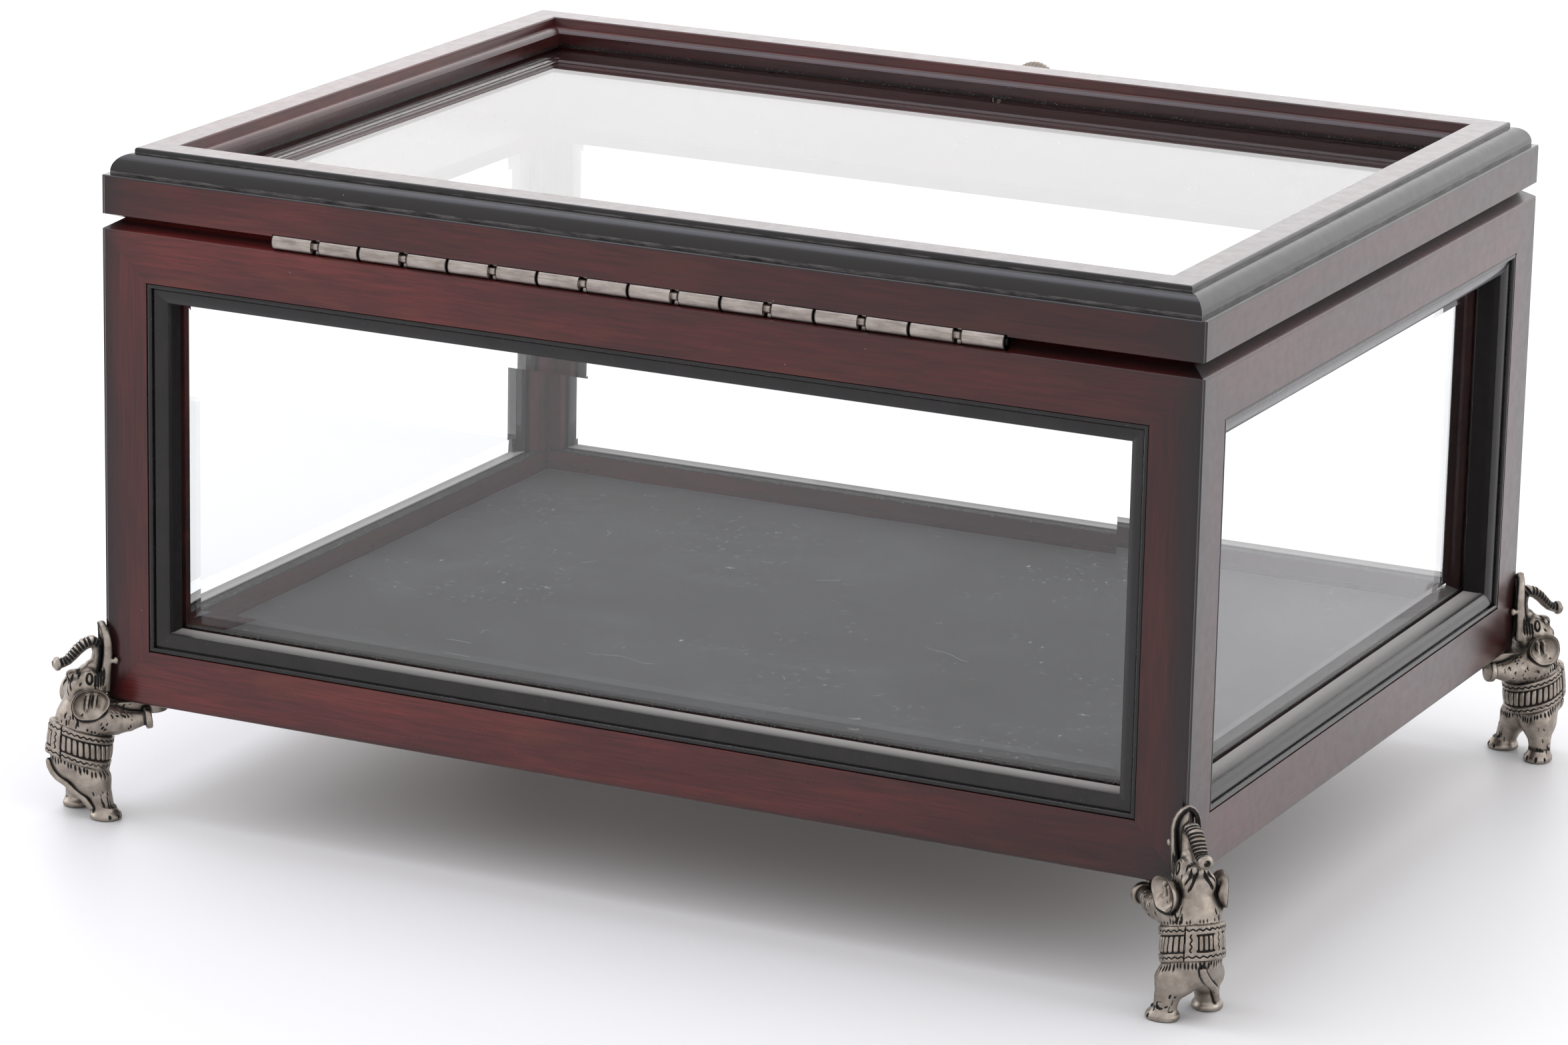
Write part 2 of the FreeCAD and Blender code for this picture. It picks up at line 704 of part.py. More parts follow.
def hinge_leaf(name, upper):
    """One leaf: a plate with every second knuckle. The upper leaf's knuckles have notched ends."""
    body = node(name, doc.addObject("PartDesign::Body", name))
    put(body, "0", HINGE_Y, HINGE_Z)
    sign = 1 if upper else -1
    near, far = f"{sign} * leaf_gap / 2", f"{sign} * (leaf_gap / 2 + leaf_thickness)"
    low, high = (near, far) if upper else (far, near)
    plate = new_sketch(body, "YZ_Plane")
    draw_rectangle(plate, "0 - barrel_recess - leaf_width", low, "0 - barrel_recess", high)
    pad(body, plate, "hinge_length", symmetric=True)

    knuckle = f"{PLAIN} + notch_length" if upper else PLAIN
    start = "0 - hinge_length / 2 + knuckle_gap"
    if not upper:
        start = f"{start} + {PLAIN} + notch_length + knuckle_gap"
    barrel = new_sketch(body, "YZ_Plane", start)
    draw_circle(barrel, "0", "0", "barrel_radius")
    draw_circle(barrel, "0", "0", "pin_bore")
    tube = pad(body, barrel, knuckle)
    web = new_sketch(body, "YZ_Plane", start)
    draw_rectangle(web, "0 - barrel_recess - 1", low, "0 - web_start", high)
    strip = pad(body, web, knuckle)
    repeat_along_x(body, [tube, strip], PITCH, KNUCKLE_PAIRS)
    if upper:
        window = new_sketch(body, "XZ_Plane")
        notch_start = f"{start} + {PLAIN}"
        draw_rectangle(
            window,
            notch_start,
            "0 - notch_height / 2",
            f"{notch_start} + notch_length + knuckle_gap / 2",
            "notch_height / 2",
        )
        notch = pocket(body, window, "barrel_radius + 1")
        repeat_along_x(body, [notch], PITCH, KNUCKLE_PAIRS)

    hole = body.newObject("PartDesign::SubtractiveCone", "ScrewHole")
    hole.AttachmentSupport = (origin_feature(body, "XY_Plane"), [""])
    hole.MapMode = "FlatFace"
    wide, narrow = "hinge_screw_head + fit_play", "hinge_screw_shank + fit_play"
    bind(
        hole,
        Radius1=wide if upper else narrow,
        Radius2=narrow if upper else wide,
        Height="leaf_thickness",
        AttachmentOffset__Base__x=screw_places()[0],
        AttachmentOffset__Base__y="0 - barrel_recess - leaf_width / 2",
        AttachmentOffset__Base__z=low,
    )
    body.Tip = hole
    repeat_along_x(body, [hole], "hinge_screw_pitch", HINGE_SCREWS)


def hinge_pin():
    """The steel pin through all the knuckles."""
    pin = rod("pin_radius", "hinge_length", "0 - hinge_length / 2", HINGE_Y, HINGE_Z, (1, 0, 0))
    node("hinge_pin", pin)


def hinge_screws(name, upper):
    """Countersunk wood screws through one leaf."""
    sign = 1 if upper else -1
    face = f"{HINGE_Z} + {sign} * leaf_gap / 2"
    across = f"{HINGE_Y} - barrel_recess - leaf_width / 2"
    screws = []
    for place in screw_places():
        towards = (0, 0, sign)
        head = taper("hinge_screw_head", "hinge_screw_shank", "leaf_thickness", place, across, face, towards)
        length = "hinge_screw_length + leaf_thickness - fit_play"
        shank = rod("hinge_screw_shank", length, place, across, face, towards)
        screws.append(fuse(head, shank))
    node(name, group(screws))


# ------------------------------------------------------------------ knob, bumpers and foot screws
KNOB_Z = f"{LID_BASE} + knob_height"
FRONT_FACE = f"{CENTRE_Y} - case_width / 2"


def knob():
    """Cast knob: a round base, a neck and a flattened round head, with a blind hole behind."""
    outward = (0, -1, 0)
    base = rod("knob_base_radius", "knob_base_depth", "0", FRONT_FACE, KNOB_Z, outward)
    neck_length = "knob_head_centre - knob_base_depth / 2"
    neck_start = f"{FRONT_FACE} - knob_base_depth / 2"
    neck = rod("knob_neck_radius", neck_length, "0", neck_start, KNOB_Z, outward)
    head = doc.addObject("Part::Ellipsoid", "KnobHead")
    head.Placement = FreeCAD.Placement(
        FreeCAD.Vector(), FreeCAD.Rotation(FreeCAD.Vector(0, 0, 1), FreeCAD.Vector(*outward))
    )
    bind(head, Radius1="knob_head_half", Radius2="knob_head_radius", Radius3="knob_head_radius")
    bind(head, Placement__Base__x="0", Placement__Base__z=KNOB_Z)
    bind(head, Placement__Base__y=f"{FRONT_FACE} - knob_head_centre")
    bore = rod("knob_screw_radius + fit_play", "knob_screw_reach", "0", FRONT_FACE, KNOB_Z, outward)
    item = doc.addObject("Part::Cut", "Knob")
    item.Base = fuse(base, neck, head)
    item.Tool = bore
    node("lid_knob", item)


def knob_screw():
    """Machine screw through the lid's front rail into the knob."""
    seat = f"{FRONT_FACE} + lip_inset - lid_rabbet - knob_counterbore"
    head_end = f"{seat} + knob_screw_head_depth"
    outward = (0, -1, 0)
    head = rod("knob_screw_head", "knob_screw_head_depth", "0", head_end, KNOB_Z, outward)
    reach = "lip_inset - lid_rabbet - knob_counterbore + knob_screw_reach - leaf_play"
    shank = rod("knob_screw_radius", reach, "0", seat, KNOB_Z, outward)
    node("knob_screw", fuse(head, shank))


def lid_bumpers():
    """Two clear dots let into the front rail, which the closed lid rests on."""
    dots = []
    for sign in (-1, 1):
        x = f"{sign} * (case_length / 2 - bumper_along)"
        base = f"{BODY_BASE} + body_height - bumper_depth"
        height = "bumper_depth + lid_gap - fit_play"
        dots.append(rod("bumper_radius", height, x, f"{FRONT_FACE} + bumper_inset", base))
    node("lid_bumpers", group(dots))


def foot_screws():
    """One countersunk screw up through each foot's tab into the corner of the case."""
    screws = []
    for sign_x in (-1, 1):
        for sign_y in (-1, 1):
            x = f"{sign_x} * (case_length / 2 - foot_screw_inset)"
            y = f"{CENTRE_Y} + {sign_y} * (case_width / 2 - foot_screw_inset)"
            z = "standing_height - tab_thickness"
            sunk = "foot_screw_head - foot_screw_radius"
            head = taper("foot_screw_head", "foot_screw_radius", sunk, x, y, z)
            shank = rod("foot_screw_radius", "tab_thickness + foot_screw_grip", x, y, z)
            screws.append(fuse(head, shank))
    node("foot_screws", group(screws))


# ------------------------------------------------------------------ cast feet
# A rearing elephant cast in one piece. Its own frame has its origin on the table under the corner
# of the case, X pointing out along the corner's diagonal and Z up. The forms below are free-hand
# and are fused; all are (x, y, z) and radii in millimetres.
FOOT_ROUNDS = {
    "hips": ((9.0, 0.0, 18.0), (10.4, 11.3, 11.0)),
    "barrel": ((9.2, 0.0, 25.5), (10.9, 10.8, 12.5)),
    "shoulders": ((8.0, 0.0, 35.0), (8.8, 9.6, 8.0)),
    "head": ((8.0, 0.0, 46.0), (6.6, 5.6, 7.4)),
    "left_ear": ((7.6, -9.6, 42.2), (6.9, 2.2, 5.9)),
    "right_ear": ((7.6, 9.6, 42.2), (6.9, 2.2, 5.9)),
}
# chains of (point, radius): tapered lengths with a ball at each point
FOOT_CHAINS = {
    "trunk": [
        ((4.6, 0.0, 51.0), 2.6),
        ((4.6, 0.0, 58.6), 2.4),
        ((7.4, 0.0, 61.9), 2.3),
        ((11.2, 0.0, 60.2), 2.2),
        ((14.4, 0.0, 55.6), 2.3),
        ((16.0, 0.0, 54.0), 2.5),
    ],
    "left_foreleg": [((3.0, -7.0, 35.6), 4.4), ((-11.8, -8.7, 35.4), 2.9)],
    "right_foreleg": [((3.0, 7.0, 35.6), 4.4), ((-11.8, 8.7, 35.4), 2.9)],
    "left_tusk": [
        ((2.6, -3.0, 50.0), 2.1),
        ((1.3, -3.7, 59.0), 1.7),
        ((1.5, -2.6, 65.0), 1.4),
        ((1.6, -0.3, 68.2), 0.9),
    ],
    "right_tusk": [
        ((2.6, 3.0, 50.0), 2.1),
        ((1.3, 3.7, 59.0), 1.7),
        ((1.5, 2.6, 65.0), 1.4),
        ((1.6, 0.3, 68.2), 0.9),
    ],
    "left_hind_leg": [((8.5, -6.0, 14.0), 5.8), ((8.4, -8.6, 5.0), 4.4)],
    "right_hind_leg": [((5.5, 6.0, 14.0), 5.8), ((2.6, 8.6, 5.0), 4.4)],
}
# soles: centre on the table, radius at the table and at the ankle, height
FOOT_SOLES = {
    "left": ((8.4, -8.8, 0.0), 5.4, 4.2, 4.6),
    "right": ((2.4, 8.8, 0.0), 5.4, 4.2, 4.6),
}
PAD_RADIUS = 3.8
PAD_THICKNESS = 2.6
FOOT_CLEAR = 0.05


def ellipsoid(centre, radii):
    shape = Part.makeSphere(1.0)
    matrix = FreeCAD.Matrix()
    matrix.scale(FreeCAD.Vector(*radii))
    shape = shape.transformGeometry(matrix)
    shape.translate(FreeCAD.Vector(*centre))
    return shape


def chain(links):
    """Balls at the points and tapered lengths between them, as a list of solids."""
    solids = [Part.makeSphere(radius, FreeCAD.Vector(*point)) for point, radius in links]
    for (start, start_radius), (finish, finish_radius) in zip(links, links[1:]):
        start, run = FreeCAD.Vector(*start), FreeCAD.Vector(*finish) - FreeCAD.Vector(*start)
        solids.append(Part.makeCone(start_radius, finish_radius, run.Length, start, run))
    return solids


def foot_shape():
    """The casting, cut clear of the corner of the case that it hugs."""
    up = FreeCAD.Vector(0, 0, 1)
    solids = [ellipsoid(*form) for form in FOOT_ROUNDS.values()]
    for links in FOOT_CHAINS.values():
        solids += chain(links)
    for centre, low_radius, high_radius, height in FOOT_SOLES.values():
        solids.append(Part.makeCone(low_radius, high_radius, height, FreeCAD.Vector(*centre), up))
    for name in ("left_foreleg", "right_foreleg"):
        end = FreeCAD.Vector(*FOOT_CHAINS[name][-1][0])
        solids.append(Part.makeCylinder(PAD_RADIUS, PAD_THICKNESS, end, FreeCAD.Vector(-1, 0, 0)))
    flare = FreeCAD.Vector(16.0, 0.0, 54.0)
    solids.append(Part.makeCone(2.2, 2.8, 2.2, flare, FreeCAD.Vector(1, 0, -0.1)))

    underside = size("standing_height")
    tab_low = underside - size("tab_thickness")
    half = size("tab_half")
    tab_centre = half - size("tab_reach")
    corner = FreeCAD.Vector(tab_centre, -half, tab_low)
    tab = Part.makeBox(4.0 - tab_centre, 2 * half, size("tab_thickness"), corner)
    round_end = Part.makeCylinder(
        half, size("tab_thickness"), FreeCAD.Vector(tab_centre, 0, tab_low), up
    )
    solids += [tab, round_end]
    casting = solids[0].multiFuse(solids[1:])

    reach = 60.0
    case = Part.makeBox(reach, reach, reach, FreeCAD.Vector(-reach, -reach, underside))
    case.rotate(FreeCAD.Vector(0, 0, 0), up, -45.0)
    case.translate(FreeCAD.Vector(FOOT_CLEAR, 0, 0))
    screw_x = -size("foot_screw_inset") * math.sqrt(2)
    hole_radius = size("foot_screw_radius + fit_play")
    head_radius = size("foot_screw_head + fit_play")
    foot = FreeCAD.Vector(screw_x, 0, tab_low)
    hole = Part.makeCylinder(hole_radius, 10.0, foot, up)
    sink = Part.makeCone(head_radius, hole_radius, head_radius - hole_radius, foot, up)
    table = Part.makeBox(2 * reach, 2 * reach, reach, FreeCAD.Vector(-reach, -reach, -reach))
    casting = casting.cut([case, hole, sink, table]).removeSplitter()
    return casting.Solids[0] if len(casting.Solids) == 1 else casting


FOOT_CORNERS = {
    "front_left": (-1, -1, 225),
    "front_right": (1, -1, 315),
    "back_right": (1, 1, 45),
    "back_left": (-1, 1, 135),
}


def cast_feet():
    casting = foot_shape()
    for corner, (sign_x, sign_y, turn) in FOOT_CORNERS.items():
        foot = node(f"{corner}_elephant_foot", doc.addObject("Part::Feature", "Foot"))
        foot.Shape = casting.copy()
        put(foot, f"{sign_x} * case_length / 2", f"{sign_y} * case_width / 2 + {CENTRE_Y}", "0", turn)


# ------------------------------------------------------------------ build
for side in SIDES:
    bottom_rail(side)
    top_rail(side)
    stile(side, "left")
    stile(side, "right")
    window_moulding(side)
    side_pane(side)
    glass_stop(side)
    lid_rail(side)
bottom_panel()
floor_lining()
lid_glass()
lid_glass_stop()
hinge_leaf("hinge_leaf_case", upper=False)
hinge_leaf("hinge_leaf_lid", upper=True)
hinge_pin()
hinge_screws("hinge_screws_case", upper=False)
hinge_screws("hinge_screws_lid", upper=True)
knob()
knob_screw()
lid_bumpers()
foot_screws()
cast_feet()
doc.recompute()

# ------------------------------------------------------------------ check and export
for item in doc.Objects:
    if "Invalid" in item.State or "Error" in item.State:
        raise RuntimeError(f"{item.Label} failed: {item.State}")
os.makedirs("parts", exist_ok=True)
whole = FreeCAD.BoundBox()
for name, item in nodes.items():
    shape = item.Shape
    if shape.isNull() or not shape.isValid():
        raise RuntimeError(f"{name} has no valid shape")
    whole.add(shape.BoundBox)
    shape.exportStep(f"parts/{name}.step")
    print(f"{name}: {len(shape.Solids)} solid(s), {shape.Volume:.1f} mm3")
print(f"{len(nodes)} nodes, box {whole}")
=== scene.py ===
import functools
import math

import bpy
import numpy as np
import openvdb
from mathutils import Matrix, Vector


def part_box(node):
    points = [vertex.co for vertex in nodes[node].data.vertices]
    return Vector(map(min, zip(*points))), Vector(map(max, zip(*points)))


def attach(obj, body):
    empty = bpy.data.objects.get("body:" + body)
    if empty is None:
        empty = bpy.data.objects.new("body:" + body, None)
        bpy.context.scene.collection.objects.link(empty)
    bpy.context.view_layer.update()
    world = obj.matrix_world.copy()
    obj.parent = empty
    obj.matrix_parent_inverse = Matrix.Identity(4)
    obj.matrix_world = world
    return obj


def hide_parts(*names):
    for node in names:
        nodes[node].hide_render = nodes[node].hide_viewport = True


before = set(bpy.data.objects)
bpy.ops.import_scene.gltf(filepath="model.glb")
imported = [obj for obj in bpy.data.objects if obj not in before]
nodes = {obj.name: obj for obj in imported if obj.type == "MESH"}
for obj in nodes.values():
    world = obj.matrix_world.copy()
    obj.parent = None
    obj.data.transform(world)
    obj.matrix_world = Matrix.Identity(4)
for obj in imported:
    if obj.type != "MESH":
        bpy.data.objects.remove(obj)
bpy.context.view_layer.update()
MM = 0.001

# ---- where things are, in metres
CASE_X = max(abs(corner[0]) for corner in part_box("left_bottom_rail"))
_, CASE_FRONT, BODY_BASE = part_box("front_bottom_rail")[0]
CASE_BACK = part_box("back_bottom_rail")[1][1]
CENTRE_Y = (CASE_FRONT + CASE_BACK) / 2
CASE_Y = (CASE_BACK - CASE_FRONT) / 2
BODY_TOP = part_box("back_top_rail")[1][2]
LID_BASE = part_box("lid_back_rail")[0][2]
# The part of a diagonal that lies along each of its two axes.
DIAGONAL = math.sqrt(0.5)


def add_to_scene(name, data):
    thing = bpy.data.objects.new(name, data)
    bpy.context.scene.collection.objects.link(thing)
    return thing


# ---- camera and light
def add_camera():
    """The camera, from its place, the direction it looks in and its small roll."""
    azimuth, elevation, roll = (math.radians(a) for a in (206.07, 15.65, 1.186))
    level = Vector((-math.sin(azimuth), math.cos(azimuth), 0)) * math.cos(elevation)
    forward = level - Vector((0, 0, math.sin(elevation)))
    side = forward.cross(Vector((0, 0, 1))).normalized()
    rise = side.cross(forward)
    right = side * math.cos(roll) + rise * math.sin(roll)
    up = rise * math.cos(roll) - side * math.sin(roll)
    data = bpy.data.cameras.new("camera")
    data.sensor_fit = "HORIZONTAL"
    data.sensor_width = 36.0
    data.lens = 143.86
    data.clip_start, data.clip_end = 0.05, 60.0
    camera = add_to_scene("camera", data)
    place = Vector((-0.9216, 1.9186 + CENTRE_Y, 0.6920))
    turn = Matrix((right, up, -forward)).transposed().to_4x4()
    camera.matrix_world = Matrix.Translation(place) @ turn
    bpy.context.scene.camera = camera


# Where each lamp panel stands and what it aims at, its width and height, its power in watts and
# its colour.
WHITE, COOL = (1.0, 1.0, 1.0), (0.88, 0.93, 1.12)
LAMPS = {
    "backdrop": ((0.9, -3.2, 1.1), (0, 0, 0.3), 7, 2.2, 26, WHITE),
    "top": ((0.75, 0, 2.2), (0, 0, 0), 1.35, 1.15, 10, COOL),
    "left": ((2.2, 0.4, 1), (0, 0.1, 0.1), 1.6, 1.4, 10, WHITE),
    "right": ((-2.4, -0.2, 1), (0, 0, 0.1), 1.4, 1.2, 7.2, WHITE),
}


def add_lamp(name, place, target, width, height, power, colour):
    data = bpy.data.lights.new(name, "AREA")
    data.shape = "RECTANGLE"
    data.size, data.size_y, data.energy, data.color = width, height, power, colour
    lamp = add_to_scene(name, data)
    lamp.location = place
    aim = Vector(target) - Vector(place)
    lamp.rotation_euler = aim.to_track_quat("-Z", "Y").to_euler()


def add_world():
    world = bpy.data.worlds.new("studio")
    bpy.context.scene.world = world
    world.use_nodes = True
    background = world.node_tree.nodes["Background"]
    background.inputs["Color"].default_value = (1, 0.99, 1, 1)
    background.inputs["Strength"].default_value = 1.15


def set_view():
    scene = bpy.context.scene
    scene.view_settings.view_transform = "Standard"
    scene.cycles.max_bounces = 24
    scene.cycles.transmission_bounces = 20
    scene.cycles.glossy_bounces = 8
    scene.cycles.diffuse_bounces = 4
    scene.cycles.transparent_max_bounces = 24
    scene.cycles.use_denoising = True
    scene.cycles.caustics_reflective = False
    scene.cycles.caustics_refractive = False


# ---- material graphs
class Graph:
    """A material's node tree, built by calls that return sockets."""

    def __init__(self, name):
        self.material = bpy.data.materials.new(name)
        self.material.use_nodes = True
        self.tree = self.material.node_tree
        self.tree.nodes.clear()
        self.surface = self.node("OutputMaterial").inputs["Surface"]
        self.place = self.node("TexCoord").outputs["Object"]

    def node(self, kind, inputs=(), **settings):
        """A node with its settings, and its inputs set or linked by name or number."""
        node = self.tree.nodes.new("ShaderNode" + kind)
        for key, value in settings.items():
            setattr(node, key, value)
        for key, value in dict(inputs).items():
            self.feed(node.inputs[key], value)
        return node

    def feed(self, socket, value):
        """Link a socket to a value that is itself a socket, or set it."""
        if isinstance(value, bpy.types.NodeSocket):
            self.tree.links.new(value, socket)
        elif socket.type == "RGBA":
            socket.default_value = (*value, 1)
        else:
            socket.default_value = value

    def work(self, operation, first, *others):
        """One operation over two or more values, from the left; ABSOLUTE takes one."""
        result = first
        for other in others or (0,):
            result = self.node("Math", enumerate((result, other)), operation=operation).outputs[0]
        return result

    times = functools.partialmethod(work, "MULTIPLY")
    plus = functools.partialmethod(work, "ADD")
    minus = functools.partialmethod(work, "SUBTRACT")
    size = functools.partialmethod(work, "ABSOLUTE")
    most = functools.partialmethod(work, "MAXIMUM")
    least = functools.partialmethod(work, "MINIMUM")

    def parts(self, vector=None):
        return self.node("SeparateXYZ", {0: vector or self.place}).outputs

    def stretch(self, scale, shift=(0, 0, 0)):
        inputs = {"Vector": self.place, "Scale": scale, "Location": shift}
        return self.node("Mapping", inputs).outputs[0]

    def noise(self, vector, scale, detail=2, roughness=0.5, distortion=0):
        names = ("Vector", "Scale", "Detail", "Roughness", "Distortion")
        inputs = zip(names, (vector, scale, detail, roughness, distortion))
        return self.node("TexNoise", inputs).outputs["Fac"]

    def specks(self, vector, scale, size, rim, amount, thin, dimensions="3D"):
        """A mask of dots in random cells: amount is the share of cells that have one."""
        inputs = {"Vector": vector, "Scale": scale}
        cell = self.node("TexVoronoi", inputs, voronoi_dimensions=dimensions)
        dots = self.span(cell.outputs["Distance"], size, size * rim)
        pick = self.parts(cell.outputs["Color"])[0]
        return self.times(dots, self.span(pick, 1 - amount, 1 - amount * thin))

    def span(self, value, low, high, to_low=0, to_high=1):
        """Smoothly from to_low to to_high while value goes from low to high."""
        inputs = enumerate((value, low, high, to_low, to_high))
        return self.node("MapRange", inputs, interpolation_type="SMOOTHSTEP").outputs["Result"]

    def between(self, value, low, high, soft):
        """A mask that is one while a value lies between two others."""
        return self.times(self.span(value, low - soft, low), self.span(value, high + soft, high))

    def ramp(self, value, *stops):
        node = self.node("ValToRGB", {"Fac": value})
        elements = node.color_ramp.elements
        while len(elements) < len(stops):
            elements.new(0.5)
        for element, (position, colour) in zip(elements, stops):
            element.position = position
            element.color = (*colour, 1)
        return node.outputs["Color"]

    def mix(self, share, first, second, blend="MIX"):
        inputs = {0: share, 6: first, 7: second}
        return self.node("Mix", inputs, data_type="RGBA", blend_type=blend).outputs[2]

    def scaled(self, colour, factor):
        """A colour times one number that varies over the surface."""
        grey = self.node("CombineXYZ", enumerate((factor,) * 3)).outputs[0]
        return self.mix(1, colour, grey, "MULTIPLY")

    def bump(self, height, distance, strength):
        inputs = {"Strength": strength, "Distance": distance, "Height": height}
        return self.node("Bump", inputs).outputs["Normal"]

    def principled(self, **inputs):
        """Finish the material with a Principled shader. Underscores stand for spaces."""
        named = {name.replace("_", " "): value for name, value in inputs.items()}
        self.feed(self.surface, self.node("BsdfPrincipled", named).outputs["BSDF"])
        return self.material


# ---- sculpting on a distance grid
def lowest(old, new, blend):
    """The lesser of two distances, with a fillet of that size where they meet."""
    if not blend:
        return np.minimum(old, new)
    near = np.maximum(blend - np.abs(old - new), 0) / blend
    return np.minimum(old, new) - near * near * blend * 0.25


def highest(old, new, blend):
    return -lowest(-old, -new, blend)


def ball(centre, radii):
    """An ellipsoid."""
    centre, radii = np.array(centre, float), np.array(radii, float)

    def distance(*place):
        scaled = [(p - c) / r for p, c, r in zip(place, centre, radii)]
        near = np.sqrt(sum(s * s for s in scaled)) + 1e-6
        slope = np.sqrt(sum((s / r) ** 2 for s, r in zip(scaled, radii))) + 1e-6
        return near * (near - 1) / slope

    return distance, centre - radii, centre + radii


def tube(points, radii):
    """A chain of tapered lengths with round ends."""
    points, radii = np.array(points, float), np.array(radii, float)

    def distance(*place):
        best = np.full(np.broadcast(*place).shape, 1e3, np.float32)
        for start, end, first, last in zip(points, points[1:], radii, radii[1:]):
            run = end - start
            share = sum((p - s) * r for p, s, r in zip(place, start, run))
            share = np.clip(share / (run @ run), 0, 1)
            gaps = [p - (s + share * r) for p, s, r in zip(place, start, run)]
            reach = np.sqrt(sum(g * g for g in gaps)) - (first + share * (last - first))
            best = np.where(reach < best, reach, best)
        return best

    return distance, points.min(0) - radii.max(), points.max(0) + radii.max()


class Clay:
    """A solid held as signed distances on a grid, in millimetres.

    A form is a distance function and the low and high corners of what it fills."""

    def __init__(self, low, high, step):
        self.low, self.step = np.array(low, float), step
        counts = np.ceil((np.array(high) - self.low) / step).astype(int) + 1
        self.field = np.full(counts, 6, np.float32)

    def block(self, low, high):
        """Slices of the cells between two corners, and their places as open grids."""
        first = np.floor((np.array(low) - self.low) / self.step)
        last = np.ceil((np.array(high) - self.low) / self.step) + 1
        first, last = (np.clip(ends, 0, self.field.shape).astype(int) for ends in (first, last))
        slices = tuple(slice(a, b) for a, b in zip(first, last))
        axes = [self.low[k] + self.step * np.arange(first[k], last[k]) for k in range(3)]
        return slices, np.meshgrid(*axes, indexing="ij", sparse=True)

    def merge(self, form, blend, rule, margin):
        distance, low, high = form
        slices, place = self.block(np.subtract(low, margin), np.add(high, margin))
        self.field[slices] = rule(self.field[slices], distance(*place), blend)

    def add(self, form, blend=0):
        """Join a form on, with a fillet of that size."""
        self.merge(form, blend, lowest, blend + 1.5)

    def cut(self, form, blend=0):
        """Take a form away, with its rim rounded by that size."""
        self.merge(form, blend, lambda old, new, soft: highest(old, -new, soft), blend + 1)

    def sample(self, places):
        """The field between grid points, at rows of places."""
        spot = np.clip((places - self.low) / self.step, 0, np.array(self.field.shape) - 1.001)
        base = np.floor(spot).astype(int)
        part = spot - base
        total = np.zeros(len(spot))
        for corner in np.ndindex(2, 2, 2):
            weight = np.prod(np.abs(1 - np.array(corner) - part), axis=1)
            total += weight * self.field[tuple((base + corner).T)]
        return total

    def slope(self, places):
        arms = self.step * np.eye(3)
        slope = np.stack([self.sample(places + arm) - self.sample(places - arm) for arm in arms], 1)
        return slope / (np.linalg.norm(slope, axis=1, keepdims=True) + 1e-9)

    def settle(self, places, lift=0):
        """Move places onto the surface, or that far above it."""
        places = np.array(places, float)
        for _ in range(12):
            places -= (self.sample(places) - lift)[:, None] * self.slope(places) * 0.8
        return places

    def scratch(self, points, radius, lift=0.02):
        """Cut a groove along points near the surface."""
        points = np.array(points, float)
        runs = [np.linspace(a, b, 6, endpoint=False) for a, b in zip(points, points[1:])]
        fine = self.settle(np.concatenate(runs + [points[-1:]]), lift)
        order = np.arange(len(fine))
        taper = np.clip(np.minimum(order, order[::-1]) / 2, 0.35, 1)
        self.cut(tube(fine, list(radius * taper)), 0.15)

    def mesh(self, name, ink):
        """The surface as a mesh in metres, with a recess attribute that is high in hollows."""
        grid = openvdb.FloatGrid(3)
        grid.copyFromArray(np.clip(self.field, -3, 3))
        points, quads = grid.convertToQuads(isovalue=0)
        places = points * self.step + self.low
        normals = self.slope(places)
        recess = np.zeros(len(places))
        for reach, weight in ((0.35, 0.45), (0.8, 0.35), (1.8, 0.2)):
            clear = self.sample(places + normals * reach) / reach
            recess += weight * np.clip(1 - clear, 0, 1)
        recess = np.maximum(recess, 0.5 * ink(*places.T))
        mesh = bpy.data.meshes.new(name)
        mesh.vertices.add(len(places))
        mesh.vertices.foreach_set("co", (places * MM).astype(np.float32).ravel())
        mesh.loops.add(quads.size)
        mesh.loops.foreach_set("vertex_index", quads.astype(np.int32).ravel())
        mesh.polygons.add(len(quads))
        mesh.polygons.foreach_set("loop_start", np.arange(0, quads.size, 4, dtype=np.int32))
        mesh.update(calc_edges=True)
        mesh.validate()
        mesh.shade_smooth()
        mark = mesh.attributes.new("recess", "FLOAT", "POINT")
        mark.data.foreach_set("value", recess.astype(np.float32))
        return mesh


# ---- the cast feet
# Millimetres, in a foot's own frame: X out along the case's diagonal, Z up from the table. The
# blanket's band has this half height, and its middle has this height and slope.
CASE_BASE = 40.8
BAND_HALF = 6
BAND_MIDDLE = (25.4, 0.3)
PILLOW_HEIGHT = 0.62


def ease(value, low, high):
    """Smoothly from 0 to 1 while value goes from low to high."""
    share = np.clip((value - low) / (high - low), 0, 1)
    return share * share * (3 - 2 * share)


def pillows(across, level, half):
    """Upright rounded pads: across runs 0 to 1 over each, level is 0 at the middle of the row."""
    centred = (across % 1 - 0.5) * 2
    oval = ((np.abs(centred) / 0.86) ** 4 + (np.abs(level) / half) ** 4) ** 0.25
    return PILLOW_HEIGHT * ease(oval, 1.04, 0.74)


